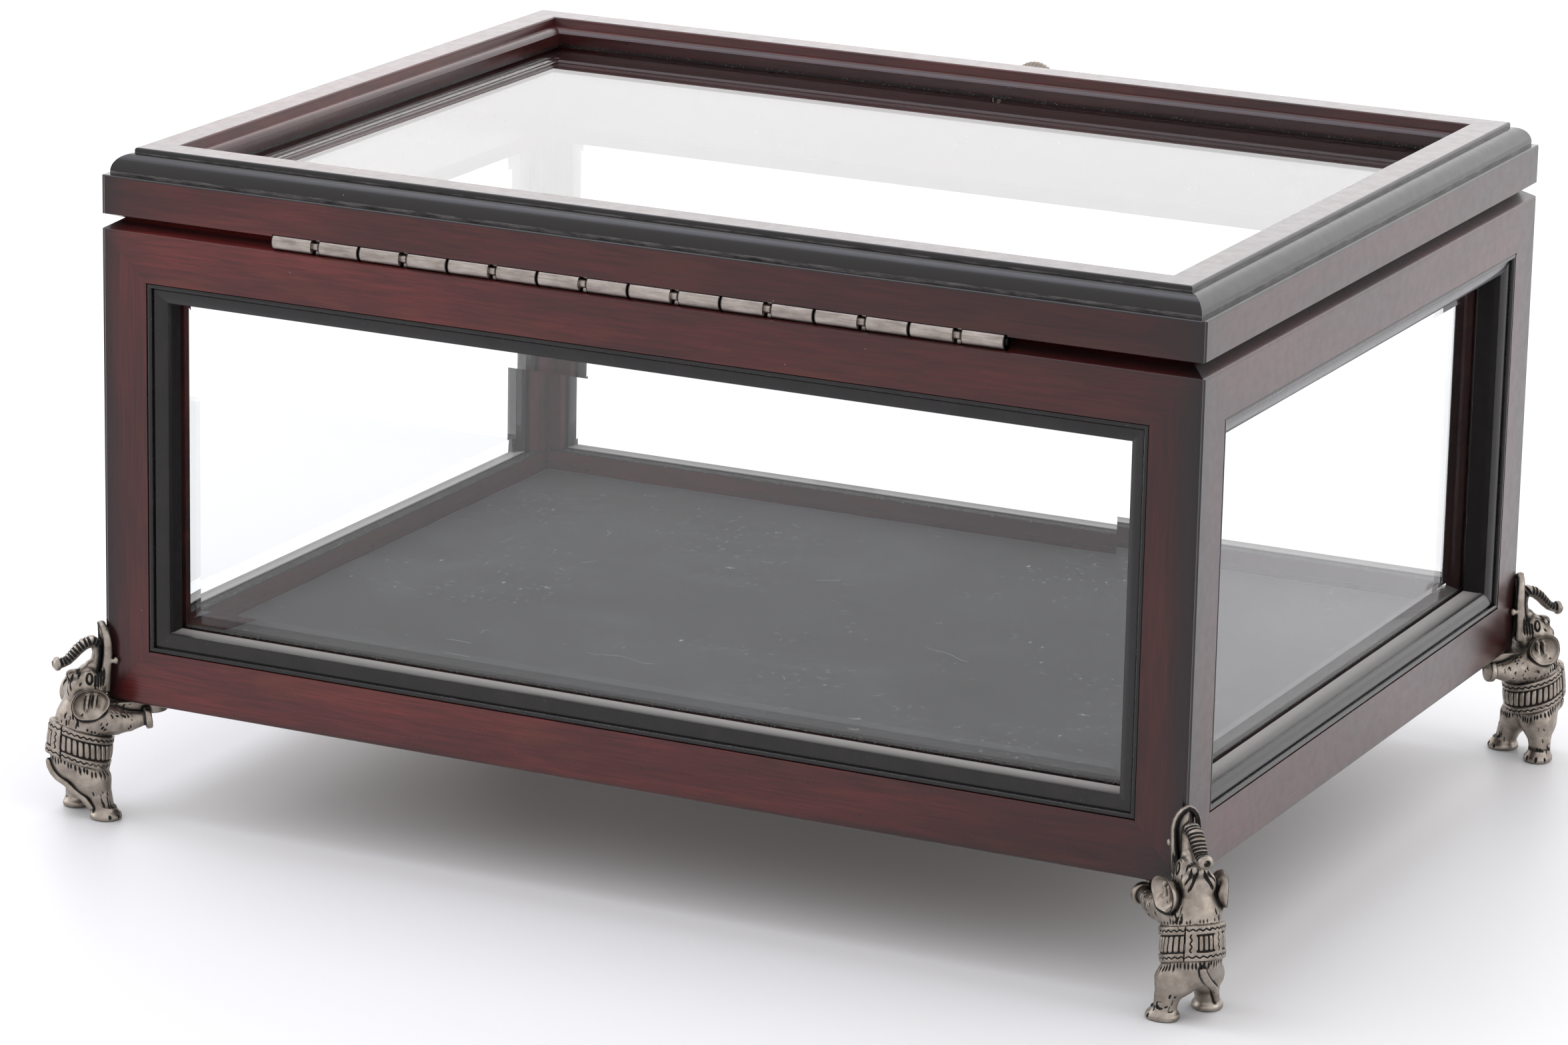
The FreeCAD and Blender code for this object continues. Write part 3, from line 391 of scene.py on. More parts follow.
def blanket(x, y, z, zigzag_rim, upright_rim, rates):
    """A value over the blanket, from rates(), which rates its row, border, frame and inset pads.

    It has zigzag borders, a row of upright pads between them, and a framed panel behind."""
    turn = np.degrees(np.arctan2(y, x - 9))
    level = (z - BAND_MIDDLE[0] - BAND_MIDDLE[1] * (x - 9)) / BAND_HALF
    side, away = np.abs(level), np.abs(turn)
    wave = np.abs((turn / 12) % 1 - 0.5) * 2
    zigzag = ease(np.abs(0.7 + 0.12 * wave - side), zigzag_rim, 0.02)
    border = ease(side, 0.5, 0.56)
    climb = np.abs((level * 2.6) % 1 - 0.5) * 2
    upright = ease(np.abs(away - 24.5 - 4 * climb), *upright_rim) * (1 - border)
    opened = ease(np.maximum(away / 17.6, side / 0.52), 1, 0.94)
    held = ease(away, 37, 35.5)
    pads, inset = pillows(turn / 12, level, 0.5), pillows(turn / 8.8 + 0.5, level, 0.48)
    row, edge, panel, inner = rates(side, pads, inset, zigzag, border, upright)
    plain = row * (1 - border) + edge * border
    framed = panel * (1 - opened) + inner * opened
    return plain * (1 - held) + framed * held, side, np.abs(away - 37.6)


def blanket_relief(x, y, z):
    """How far the blanket stands out."""

    def rates(side, pads, inset, zigzag, border, upright):
        edge = 1.25 - 0.5 * zigzag - 0.25 * ease(side, 0.9, 1.02)
        return 0.45 + pads, edge, 1.75 - 0.5 * np.maximum(zigzag, upright), 0.75 + inset

    relief, side, seam = blanket(x, y, z, 0.055, (2, 0.7), rates)
    return (relief - 0.45 * ease(seam, 1.5, 0.5)) * ease(side, 1.06, 0.98)


def blanket_ink(x, y, z):
    """Where dark patina sits on the blanket: in its zigzags, between its pads, round its panel."""

    def rates(side, pads, inset, zigzag, border, upright):
        between = 1 - pads / PILLOW_HEIGHT, 1 - inset / PILLOW_HEIGHT
        return between[0], zigzag, np.maximum(zigzag * border, upright), between[1]

    ink, side, seam = blanket(x, y, z, 0.06, (1.9, 0.6), rates)
    ink = np.maximum(ink, ease(seam, 1.6, 0.6))
    near = ease(np.abs(torso(x, y, z)), 0.35, 0.15)
    return ink * near * ease(side, 1.04, 0.98)


def torso(x, y, z):
    hips = ball((9.6, 0, 19.5), (9.2, 8.9, 9))[0](x, y, z)
    belly = ball((9, 0, 26.5), (10.3, 9.2, 12))[0](x, y, z)
    chest = ball((6.9, 0, 34.5), (9.2, 9.2, 8))[0](x, y, z)
    return lowest(lowest(hips, belly, 4), chest, 4) - blanket_relief(x, y, z)


def ear(side):
    """A deeply cupped ear: a leaf-shaped dish with a thick rim and two short ridges in it."""
    centre = np.array((7.4, 8.9 * side, 42.3))
    tilt = math.radians(8) * side

    def distance(x, y, z):
        dx, dy, dz = x - centre[0], y - centre[1], z - centre[2]
        u = dx * math.cos(tilt) - dy * math.sin(tilt)
        v = (dx * math.sin(tilt) + dy * math.cos(tilt)) * side
        w = dz + 0.12 * dx
        tall = np.clip(5.6 + 0.1 * u, 4.2, 6.2)
        leaf = np.abs(u) / 7
        rim = np.sqrt(leaf**2.2 + (w / tall) ** 2)
        edge = (rim - 1) * 5.2
        bowl = -2.3 + 4 * np.minimum(rim, 1.15) ** 2.2
        thick = 0.7 + 0.42 * ease(rim, 0.7, 0.94)
        fold = ease(np.abs(np.abs(u + 0.3 + 0.15 * w) - 1.3), 0.95, 0.35)
        fold = 1.7 * fold * ease(np.abs(w) / tall, 0.62, 0.3)
        veins = 0.3 * np.cos(u * 2.4) * ease(rim, 0.95, 0.75)
        front = v - bowl - thick - np.where(v > bowl, fold, 0)
        back = bowl - thick - v - np.where(v < bowl, veins, 0)
        sheet = np.maximum(front, back) * 0.8
        return highest(edge, sheet, 1.1)

    return distance, centre - (9, 5.5, 7.5), centre + (9, 5.5, 7.5)


def case_corner(x, y, z):
    """The corner of the case, which the casting stays outside of."""
    clear = 0.12
    return np.maximum((x + np.abs(y)) * DIAGONAL - clear, CASE_BASE - clear - z)


def squeezed(form, axis, factor):
    """The same form, drawn wider along one axis through y = 0 or x = 0."""
    distance, low, high = form
    scale = np.ones(3)
    scale[axis] = factor

    def wider(*place):
        return distance(*[p / s for p, s in zip(place, scale)])

    return wider, low * scale, high * scale


def pad_disc(centre, axis, radius, half, soft):
    """A thick disc with a rounded edge."""
    centre, axis = np.array(centre, float), np.array(axis, float)
    axis /= np.linalg.norm(axis)

    def distance(x, y, z):
        gaps = (x - centre[0], y - centre[1], z - centre[2])
        rise = sum(g * a for g, a in zip(gaps, axis))
        flat = np.sqrt(np.maximum(sum(g * g for g in gaps) - rise * rise, 0))
        out, up = flat - (radius - soft), np.abs(rise) - (half - soft)
        corner = np.sqrt(np.maximum(out, 0) ** 2 + np.maximum(up, 0) ** 2)
        return corner + np.minimum(np.maximum(out, up), 0) - soft

    reach = radius + 0.5
    return distance, centre - reach, centre + reach


def sole(centre, radius, height, heading):
    """A splayed foot, a little longer towards its toes."""
    centre = np.array(centre, float)
    angle = math.radians(heading)
    toe = (math.cos(angle), math.sin(angle))

    def distance(x, y, z):
        dx, dy = x - centre[0], y - centre[1]
        ahead = dx * toe[0] + dy * toe[1]
        aside = -dx * toe[1] + dy * toe[0]
        flat = np.sqrt((ahead - 0.5) ** 2 * 0.84 + aside * aside)
        swell = radius - 1.7 * ease(z, 1.3, height) - 0.5 * ease(z, 0.7, 0)
        return np.maximum(np.maximum((flat - swell) * 0.9, (z - height) * 0.9), -z)

    low = centre - (radius + 2, radius + 2, 0.5)
    high = centre + (radius + 2, radius + 2, height + 0.5)
    return distance, low, high


# Places along each line of the figure, with a radius at each. The trunk's are x, z and radius.
TRUNK = [
    (4.6, 50.5, 2.6), (3.2, 54, 2), (2.6, 57.5, 1.9), (2.9, 60.6, 1.95), (4.6, 62, 2.05),
    (7.2, 61.2, 2.05), (9.6, 59.4, 2), (11.5, 57.4, 1.9), (13.2, 55.8, 1.75),
    (15.2, 54.9, 1.7), (17, 54.6, 1.85),
]
TRUNK_LINE = [(x, 0, z) for x, z, _ in TRUNK]
TAIL = np.array([
    (18, -0.6, 19.8, 1.1), (17.8, -0.1, 18.2, 1.25), (17.6, 0.8, 16.6, 1.25),
    (17.2, 2.2, 14.6, 1.2), (15.8, 4.4, 12, 1.15), (13.4, 6.8, 9.6, 1.1),
    (10.6, 8.6, 7, 1.15), (7.8, 9.8, 4.4, 1),
])
JAW_RIM = np.array([
    (1.6, 3, 45, 1.5), (1, 3.7, 49.5, 1.2), (0.3, 4.1, 54, 0.95), (-0.1, 4.2, 58, 0.9),
    (-0.1, 4.3, 61, 0.85), (0.1, 3.9, 63.6, 0.8), (0.5, 3, 65.8, 0.75),
    (0.9, 1.7, 67.4, 0.72), (1.2, 0, 68.3, 0.7),
])
# The jaw's rim is laid out this much narrower along X, and the trunk ends up this much wider
# along Y.
JAW_THIN, TRUNK_WIDE = 0.55, 1.36


def mirrored(points, side):
    return [(x, y * side, z) for x, y, z in points]


def strokes(clay, rng, count, centre, spread, direction, length):
    """Short tooling marks scattered round a place, all running roughly the same way."""
    direction = np.array(direction, float)
    direction /= np.linalg.norm(direction)
    for _ in range(count):
        place = np.array(centre, float) + rng.uniform(-1, 1, 3) * spread
        run = direction + rng.normal(0, 0.16, 3)
        half = run * length * rng.uniform(0.35, 0.65)
        clay.scratch([place - half, place, place + half], 0.21 * rng.uniform(0.8, 1.2), -0.05)


def web(x, y, z):
    """The thin back of the jaw, bent round the corner of the case."""
    width = np.interp(z, JAW_RIM[:, 2], JAW_RIM[:, 1])
    behind = np.maximum((x + np.abs(y)) * DIAGONAL - 1.3, -1.5 - x)
    return np.maximum(np.maximum(behind, np.abs(y) - width + 0.7), np.maximum(z - 67.2, 46 - z))


def tab(x, y, z):
    """The tongue under the case that takes the screw."""
    flat = np.sqrt(np.maximum(-16 - x, 0) ** 2 + y * y) - 6
    return np.maximum(np.maximum(flat, x - 4), np.maximum(35.8 - z, z - 40.68))


def build_figure(clay):
    add = clay.add
    torso_form = (torso, (-5, -13, 5), (23, 13, 44))
    add(torso_form)
    # neck, head and face
    add(tube([(8.6, 0, 36.5), (7.7, 0, 43)], [7.6, 6.1]), 3)
    add(ball((7.2, 0, 45.4), (6.6, 5.7, 6.2)), 2)
    add(tube([(6.9, 0, 48.5), (4.6, 0, 52.4)], [4.7, 2.9]), 2)
    add(ball((11.6, 0, 50.3), (2.3, 3, 1.8)), 1.6)
    for side in (-1, 1):
        add(ball((6.3, 3.5 * side, 50.2), (2.3, 1.7, 2.7)), 1.4)
        add(ball((3.4, 3.4 * side, 46.2), (2.8, 2.2, 4.8)), 1.6)
        add(ball((11.6, 3.6 * side, 45.6), (2.6, 2.4, 3.6)), 1.4)
    # forelegs that end in flared pads
    foreleg = [(4.2, 6, 36), (-1.6, 7.4, 34.6), (-6.2, 8.2, 34.4), (-11.6, 8.8, 35.2)]
    for side in (-1, 1):
        add(tube(mirrored(foreleg, side), [5.9, 4.9, 3.6, 2.35]), 2.4)
        heading = (-1, 0.1 * side, 0.12)
        add(pad_disc((-13.1, 8.95 * side, 35.35), heading, 3.75, 1.15, 0.55), 0.7)
    # hips, hind legs, feet
    add(ball((9.6, -5, 14), (6.6, 6.6, 6.4)), 2.2)
    add(ball((6.6, 5, 14), (6.8, 6.8, 6.4)), 2.2)
    add(tube([(8.2, -6.6, 12.5), (8.6, -7.8, 8.4), (8.6, -8.8, 3.2)], [5.4, 4.3, 3.7]), 2)
    add(tube([(5.4, 6.2, 12.5), (4, 7.4, 8.4), (2.8, 8.4, 3.2)], [5.6, 4.4, 3.8]), 2)
    add(sole((8.4, -8.8, 0), 5.3, 4.4, 215), 1.1)
    add(sole((2.6, 8.5, 0), 5.2, 4.4, 150), 1.1)
    add(torso_form, 0.3)
    # ears, jaw, trunk, tail, tab
    for side in (-1, 1):
        add(ear(side), 0.8)
    add((web, (-6, -6, 45), (4, 6, 69)), 0.3)
    for side in (-1, 1):
        rim = tube(JAW_RIM[:, :3] * (JAW_THIN, side, 1), JAW_RIM[:, 3])
        add(squeezed(rim, 0, 1 / JAW_THIN), 0.5)
        add(tube([(-0.6, 3.9 * side, 55.6), (-2.5, 4.1 * side, 55.5)], [0.95, 0.85]), 0.4)
        add(ball((-2.8, 4.15 * side, 55.5), (1.2, 1.15, 1.35)), 0.2)
    trunk = tube(TRUNK_LINE, [radius for _, _, radius in TRUNK])
    add(squeezed(trunk, 1, TRUNK_WIDE), 0.6)
    add(pad_disc((16.9, 0, 54.65), (1, 0, -0.05), 2.45, 0.9, 0.5), 0.5)
    clay.cut(tube([(17.2, 0, 54.65), (20.5, 0, 54.5)], [0.85, 1.45]), 0.25)
    add(tube(clay.settle(TAIL[:, :3], 0.75), TAIL[:, 3]), 0.3)
    add((tab, (-23, -7, 35), (5, 7, 42)), 0.6)


def chase_face(clay):
    """Engraved lines round the eyes, over the cheeks and down the forehead."""
    turns = np.linspace(0, 2 * math.pi, 17)
    eye = [(6.7 + 1.05 * math.sin(a), 5.4, 50 + 2 * math.cos(a)) for a in turns]
    lines = [(eye, 0.34, -0.05), ([(5.6, 5, 53.2), (6.9, 5, 53.5), (8.4, 5, 52.8)], 0.26, 0.02)]
    for k in range(4):
        x = 1.4 + 1 * k
        cheek = [(x, 4.6, 53.4 - 0.9 * k), (x + 0.15, 5, 49.8), (x + 0.4, 5.4, 46.4 - 0.2 * k)]
        lines.append((cheek, 0.34, -0.08))
    lines += [
        ([(12.9, 0.7, 51), (14.4, 2.4, 47.6), (14.6, 4.8, 43.6)], 0.42, -0.08),
        ([(11.6, 2, 51.6), (12.8, 3.4, 48.6), (12.8, 5.2, 45.6)], 0.3, -0.05),
        ([(9.6, 3, 52.6), (10.6, 4.4, 50.2)], 0.3, -0.05),
        ([(9.2, 4.4, 48.6), (10.6, 5.2, 47.2)], 0.26, 0.02),
    ]
    for k in range(3):
        y = 0.9 + 0.9 * k
        brow = [(9 + 0.3 * k, y, 53.6 - 0.3 * k), (10.8, y * 1.2, 52.4 - 0.2 * k)]
        lines.append((brow, 0.28, -0.05))
    for side in (-1, 1):
        for points, radius, lift in lines:
            clay.scratch(mirrored(points, side), radius, lift)


def chase_trunk(clay):
    """Cross grooves over the outer side of the trunk."""
    points = np.array(TRUNK_LINE[3:])
    steps = np.linalg.norm(np.diff(points, axis=0), axis=1)
    travel = np.concatenate([[0], np.cumsum(steps)])
    for where in np.arange(0.6, travel[-1] - 0.9, 1.35):
        centre, ahead = (
            np.array([np.interp(at, travel, points[:, k]) for k in range(3)])
            for at in (where, where + 0.3)
        )
        ahead = (ahead - centre) / np.linalg.norm(ahead - centre)
        up = np.array((-ahead[2], 0, ahead[0]))
        if up[2] < 0:
            up = -up
        ring = [
            centre + up * 2.1 * math.cos(a) + np.array((0, 2.9, 0)) * math.sin(a)
            for a in np.radians(np.linspace(-105, 105, 9))
        ]
        clay.scratch(ring, 0.34, -0.06)


# Tooling marks: how many, round which place, how far spread, which way they run, how long.
PAIRED_STROKES = [
    (12, (-4, 11, 35.5), (4.5, 1.5, 3.4), (0.3, 0, 1), 1.4),
    (8, (2.5, 13, 33.8), (3, 1.5, 2.6), (-0.3, 0, 1), 1.6),
    (8, (-5, 8.5, 40), (4, 2.5, 0.8), (0.2, 1, 0), 1.2),
    (12, (13, 6.5, 36), (3.5, 2.5, 1.6), (0.1, 0, 1), 2.2),
]
SINGLE_STROKES = [
    (9, (4, 12.5, 8), (4, 1.5, 4.5), (0.3, 0, 1), 1.6),
    (9, (9, -13, 8.5), (4, 1.5, 4.5), (-0.2, 0, 1), 1.6),
    (7, (14, -6, 8), (1.5, 4, 4), (0, 0.3, 1), 1.5),
    (6, (12, -9.5, 6), (3, 3, 2.5), (0.6, 0.6, 0.2), 1.4),
    (6, (-2, 6, 7), (1.5, 4, 3.5), (0, 0.3, 1), 1.4),
    (6, (15, 4, 9), (2, 4, 4), (0, 0.3, 1), 1.4),
]


def chase_body(clay, rng):
    """Tooling marks over the hide, wrinkles beside the blanket, and toes."""
    for side in (-1, 1):
        for count, centre, *rest in PAIRED_STROKES:
            strokes(clay, rng, count, mirrored([centre], side)[0], *rest)
    for row in SINGLE_STROKES:
        strokes(clay, rng, *row)
    for turn in np.arange(-180, 180, 7.5):
        angle = math.radians(turn + rng.uniform(-1.5, 1.5))
        x, y = 9 + 11.5 * math.cos(angle), 11.2 * math.sin(angle)
        low = BAND_MIDDLE[0] + BAND_MIDDLE[1] * (x - 9) - BAND_HALF - 0.2
        drop = rng.uniform(1.8, 3.8)
        clay.scratch([(x, y, low), (x, y, low - drop)], 0.29, -0.05)
        if rng.random() < 0.6:
            top = low + 2 * BAND_HALF + 0.5
            clay.scratch([(x, y, top), (x, y, top + rng.uniform(0.8, 2))], 0.25, -0.02)
    for centre, heading in (((8.4, -8.8), 215), ((2.6, 8.5), 150)):
        for spread in (-52, -17, 17, 52):
            angle = math.radians(heading + spread)
            x, y = centre[0] + 5.4 * math.cos(angle), centre[1] + 5.4 * math.sin(angle)
            clay.scratch([(x, y, 0.8), (x, y, 2.6)], 0.42, -0.1)


def sculpt_elephant(step):
    clay = Clay((-24, -16, -1), (24, 16, 71.5), step)
    rng = np.random.default_rng(7)
    build_figure(clay)
    chase_face(clay)
    chase_trunk(clay)
    chase_body(clay, rng)
    clay.cut((case_corner, (-24, -16, 40), (1, 16, 71.5)))
    slices, place = clay.block((-24, -16, -1), (24, 16, 0.5))
    clay.field[slices] = np.maximum(clay.field[slices], -place[2])
    return clay.mesh("elephant", blanket_ink)


# ---- wood
# Near black: for black stain and paint, and for painted shade in the gap under the lid and at the
# foot of the lid's inner wall.
BLACK_STAIN_AND_SHADE = (0.007, 0.0054, 0.0058)
# Top of the lower reveal of each window, and the height of the lip over the lid's glass, above
# the underside of the lid.
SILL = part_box("back_bottom_rail")[1][2]
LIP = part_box("lid_glass")[1][2] - LID_BASE


def dust(g, amount, scale=420, size=0.1):
    """A mask of small light specks, thinned out by a random pick."""
    return g.specks(g.place, scale, size, 0.55, amount, 0.6)


def insets(g):
    """A place's x and z, and how far inside the case's ends and its long sides it is."""
    x, y, z = g.parts()
    across = g.size(g.minus(y, CENTRE_Y))
    return x, z, g.minus(CASE_X, g.size(x)), g.minus(CASE_Y, across)


@functools.cache
def wood(along, facing, part):
    """Stained mahogany under satin lacquer, with its grain along one axis.

    part is rail, stile, lid or inner: it says where the colour is darkened towards black, by black
    stain near the corners, black paint in the reveals and on the lid's ovolo, and painted shade in
    the gap between lid and case and at the foot of the lid's inner wall."""
    g = Graph(f"mahogany_{part}_{along}{facing}".lower())
    x, z, corner_x, corner_y = insets(g)
    depth, to_corner = (corner_y, corner_x) if facing == "Y" else (corner_x, corner_y)

    def grain(share, shift, *noise):
        """Noise drawn out along the grain."""
        scale = [share if axis == along else 1 for axis in "XYZ"]
        return g.noise(g.stretch(tuple(scale), (shift, shift * 0.7, shift * 0.4)), *noise)

    fibre = grain(0.045, 0, 1100, 4, 0.65)
    band = grain(0.14, 0, 70, 4, 0.62, 0.25)
    blotch = grain(0.3, 2.3, 15, 3, 0.55, 0.2)
    pores = grain(0.05, 3.1, 2300, 2, 0.6)
    colour = g.ramp(
        g.plus(g.times(band, 0.55), g.times(blotch, 0.45)),
        (0.34, (0.038, 0.006, 0.0066)),
        (0.5, (0.074, 0.0098, 0.0102)),
        (0.66, (0.128, 0.0175, 0.015)),
    )
    colour = g.scaled(colour, g.span(fibre, 0.3, 0.72, 0.7, 1.3))
    colour = g.mix(g.span(pores, 0.64, 0.8, 0, 0.55), colour, (0.012, 0.003, 0.003))
    orange = g.span(grain(0.2, 5, 105, 3, 0.6, 0.2), 0.5, 0.72, 0, 0.4)
    colour = g.mix(orange, colour, (0.12, 0.028, 0.0125))
    # Painted shade: the colour falls to about half towards -X, standing in for light that comes
    # from the +X side. The lid's rails are also darker all over.
    full = 0.76 if part == "lid" else 1.06
    colour = g.scaled(colour, g.span(x, -0.21, 0.21, 0.48 * full, full))

    masks, lacquer = [], 1
    specks = g.times(dust(g, 0.015), 0.5)
    satin = g.noise(g.place, 240)
    rough = g.span(satin, 0.25, 0.75, 0.27, 0.36)
    if part != "inner":
        near_corner = g.plus(to_corner, g.times(g.minus(blotch, 0.5), 0.012))
        masks = [
            g.span(near_corner, 0.001, 0.011, 0.8, 0),
            g.span(near_corner, 0, 0.032, 0.45, 0),
        ]
    if part in ("rail", "stile"):
        behind_face = g.between(depth, 0.0018, 0.0112, 0.0008)
        matt = g.times(behind_face, g.span(z, BODY_TOP - 0.0042, BODY_TOP - 0.0052))
        # Painted shade at the top of the body, darkest at its top edge, in the gap under the lid.
        gap_shade = g.span(z, BODY_TOP - 0.004, BODY_TOP - 0.0005, 0, 0.88)
        masks += [
            matt,
            g.span(g.minus(z, BODY_BASE), 0, 0.003, 0.55, 0),
            g.span(depth, 0.0114, 0.012, 0, 0.5),
            g.times(gap_shade, g.between(depth, 0.002, 0.004, 0.0016)),
        ]
        rough = g.plus(rough, g.times(matt, 0.4))
        lacquer = g.minus(1, matt)
    if part == "rail":
        # On each window's sill: a light band, partly dust and partly painted sheen, brighter
        # further in.
        sill = g.between(z, SILL - 0.0002, SILL + 0.0002, 0.0002)
        specks = g.most(specks, g.times(sill, g.span(depth, 0.003, 0.01, 0.35, 0.85)))
    elif part == "inner":
        strip = g.between(z, SILL - 0.0003, SILL + 0.0003, 0.0001)
        masks += [strip, 0.5]
        specks = g.times(g.most(dust(g, 0.55, 1500, 0.32), dust(g, 0.2, 500, 0.12)), strip)
        rough = g.span(satin, 0.25, 0.75, 0.72, 0.86)
        lacquer = 0
    elif part == "lid":
        over, inset = g.minus(z, LID_BASE), g.least(corner_x, corner_y)
        lip = g.span(inset, 0.0226, 0.0236)
        at_glass = g.times(g.span(over, LIP + 0.0018, LIP + 0.0006), lip)
        masks += [
            # Painted shade along the lid's bottom edge, in the gap over the case.
            g.times(g.span(over, 0.0012, 0.0002, 0, 0.88), g.span(inset, 0.01, 0.004)),
            g.times(g.span(over, 0.0142, 0.0149), g.span(inset, 0.0098, 0.0088)),
            # Painted shade: a near-black strip along the foot of the inner wall, just above the
            # glass, with dust on it.
            g.times(at_glass, 0.9),
            g.times(lip, 0.45),
        ]
        # A light line along two ledges of the lid, partly dust and partly a painted highlight on
        # the edge of each step.
        ledges = [
            g.times(g.between(over, low, high, 0.0002), g.between(inset, near, far, 0.0002))
            for low, high, near, far in (
                (0.0148, 0.0163, 0.0022, 0.0025),
                (0.0217, 0.0223, 0.0082, 0.0085),
            )
        ]
        ledge_lines = g.times(g.plus(*ledges), grain(0.12, 1.1, 900, 4, 0.7))
        dust_and_highlight = g.times(g.span(ledge_lines, 0.36, 0.66), 0.26)
        fuzz = g.times(g.times(at_glass, dust(g, 0.45, 1500, 0.3)), 0.6)
        specks = g.most(specks, dust_and_highlight, fuzz)
    for mask in masks:
        colour = g.mix(mask, colour, BLACK_STAIN_AND_SHADE)
    ripple = g.plus(g.times(fibre, 0.6), g.times(pores, 0.4))
    return g.principled(
        Base_Color=g.mix(specks, colour, (0.36, 0.34, 0.33)),
        Roughness=rough,
        Normal=g.bump(ripple, 0.00005, 0.25),
        IOR=1.3,
        Coat_Weight=lacquer,
        Coat_Roughness=0.2,
        Coat_IOR=1.3,
    )


def moulding_black():
    """Black lacquer over wood, with dust specks, and a light band on its sill that is partly dust
    and partly painted sheen.
    """
    g = Graph("black_moulding")
    _, z, corner_x, corner_y = insets(g)
    depth = g.least(corner_x, corner_y)
    soft = g.noise(g.place, 120, 3, 0.6)
    colour = g.ramp(soft, (0.3, (0.005, 0.0042, 0.0046)), (0.7, (0.011, 0.009, 0.0094)))
    # On the sill: a light band, partly dust and partly painted sheen, stronger further in.
    sill = g.between(z, SILL - 0.0002, SILL + 0.0002, 0.0001)
    dust_and_highlight = g.times(sill, g.span(depth, 0.0028, 0.0055, 0, 0.45))
    specks = g.most(g.times(dust(g, 0.05, 900, 0.14), 0.35), dust_and_highlight)
    reveal = g.span(depth, 0.0026, 0.0034)
    return g.principled(
        Base_Color=g.mix(specks, colour, (0.34, 0.325, 0.32)),
        Roughness=g.plus(g.span(soft, 0.3, 0.7, 0.22, 0.3), g.times(reveal, 0.3)),
        Normal=g.bump(g.noise(g.place, 1500, 2, 0.6), 0.00002, 0.08),
        IOR=1.28,
        Coat_Weight=g.minus(1, g.times(reveal, 0.8)),
        Coat_Roughness=0.16,
        Coat_IOR=1.28,
    )


# ---- glass, metal, cloth and floor
# Width of the lid's frame and of a window's moulding, up to where their glass can be seen.
LID_FRAME, MOULDING = 0.0248, 0.0068


def glass(name, to_edge, band, dull):
    """Clear glass that lets lamp light through. Dust dulls it in a band along its edge."""
    g = Graph(name)
    x, y, z = g.parts()
    edge = to_edge(g, x, g.minus(y, CENTRE_Y), z)
    film = g.times(g.span(edge, *band), g.noise(g.place, 1800, 4, 0.75))
    g.principled(
        Base_Color=(0.985, 0.995, 0.99),
        Roughness=g.span(film, 0.38, 0.62, 0, dull),
        IOR=1.5,
        Transmission_Weight=1,
    )
    clear = g.node("BsdfTransparent", {"Color": (0.95, 0.96, 0.955)}).outputs[0]
    path = g.node("LightPath").outputs
    for kind in ("Is Diffuse Ray", "Is Shadow Ray"):
        shader = g.surface.links[0].from_socket
        g.feed(g.surface, g.node("MixShader", {0: path[kind], 1: shader, 2: clear}).outputs[0])
    return g.material


def pane_edge(facing, half, low, high):
    """How far places on a side's pane are from the edge of its window."""

    def to_edge(g, x, y, z):
        side = g.minus(half, g.size(x if facing == "Y" else y))
        return g.least(side, g.least(g.minus(z, low), g.minus(high, z)))

    return to_edge


def lid_edge(g, x, y, z):
    side = g.minus(CASE_X - LID_FRAME, g.size(x))
    return g.least(side, g.minus(CASE_Y - LID_FRAME, g.size(y)))


KNUCKLE_PAIRS = 8
KNUCKLE_GAP = 0.0007
# Where the three gaps of a pair of knuckles are, as shares of the pair's length.
GAP_SHARES = (0, 0.4645, 1)


def nickel():
    """Satin nickel plate, drawn along X, with tarnish, and painted shade darkening the ends of the
    knuckles beside the gaps between them.
    """
    g = Graph("nickel")
    drawn = g.noise(g.stretch((0.04, 1, 1)), 2200, 3, 0.7)
    colour = g.ramp(
        g.noise(g.stretch((0.3, 1, 1)), 360, 3, 0.6),
        (0.3, (0.24, 0.21, 0.19)),
        (0.5, (0.34, 0.298, 0.272)),
        (0.75, (0.44, 0.396, 0.365)),
    )
    colour = g.scaled(colour, g.span(drawn, 0.3, 0.7, 0.8, 1.12))
    low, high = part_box("hinge_pin")
    pitch = (high[0] - low[0]) / KNUCKLE_PAIRS
    spot = g.work("MODULO", g.minus(g.parts()[0], low[0] - pitch), pitch)
    # Painted shade: the ends of each knuckle darkened almost to black beside the gaps between
    # knuckles.
    for share in GAP_SHARES:
        to_gap = g.size(g.minus(spot, KNUCKLE_GAP / 2 + pitch * share))
        end = g.span(to_gap, KNUCKLE_GAP * 1.25, KNUCKLE_GAP * 0.7, 0, 0.93)
        colour = g.mix(end, colour, (0.02, 0.017, 0.016))
    return g.principled(
        Base_Color=colour,
        Metallic=1,
        Roughness=g.span(drawn, 0.3, 0.7, 0.26, 0.42),
        Normal=g.bump(drawn, 0.00004, 0.5),
    )


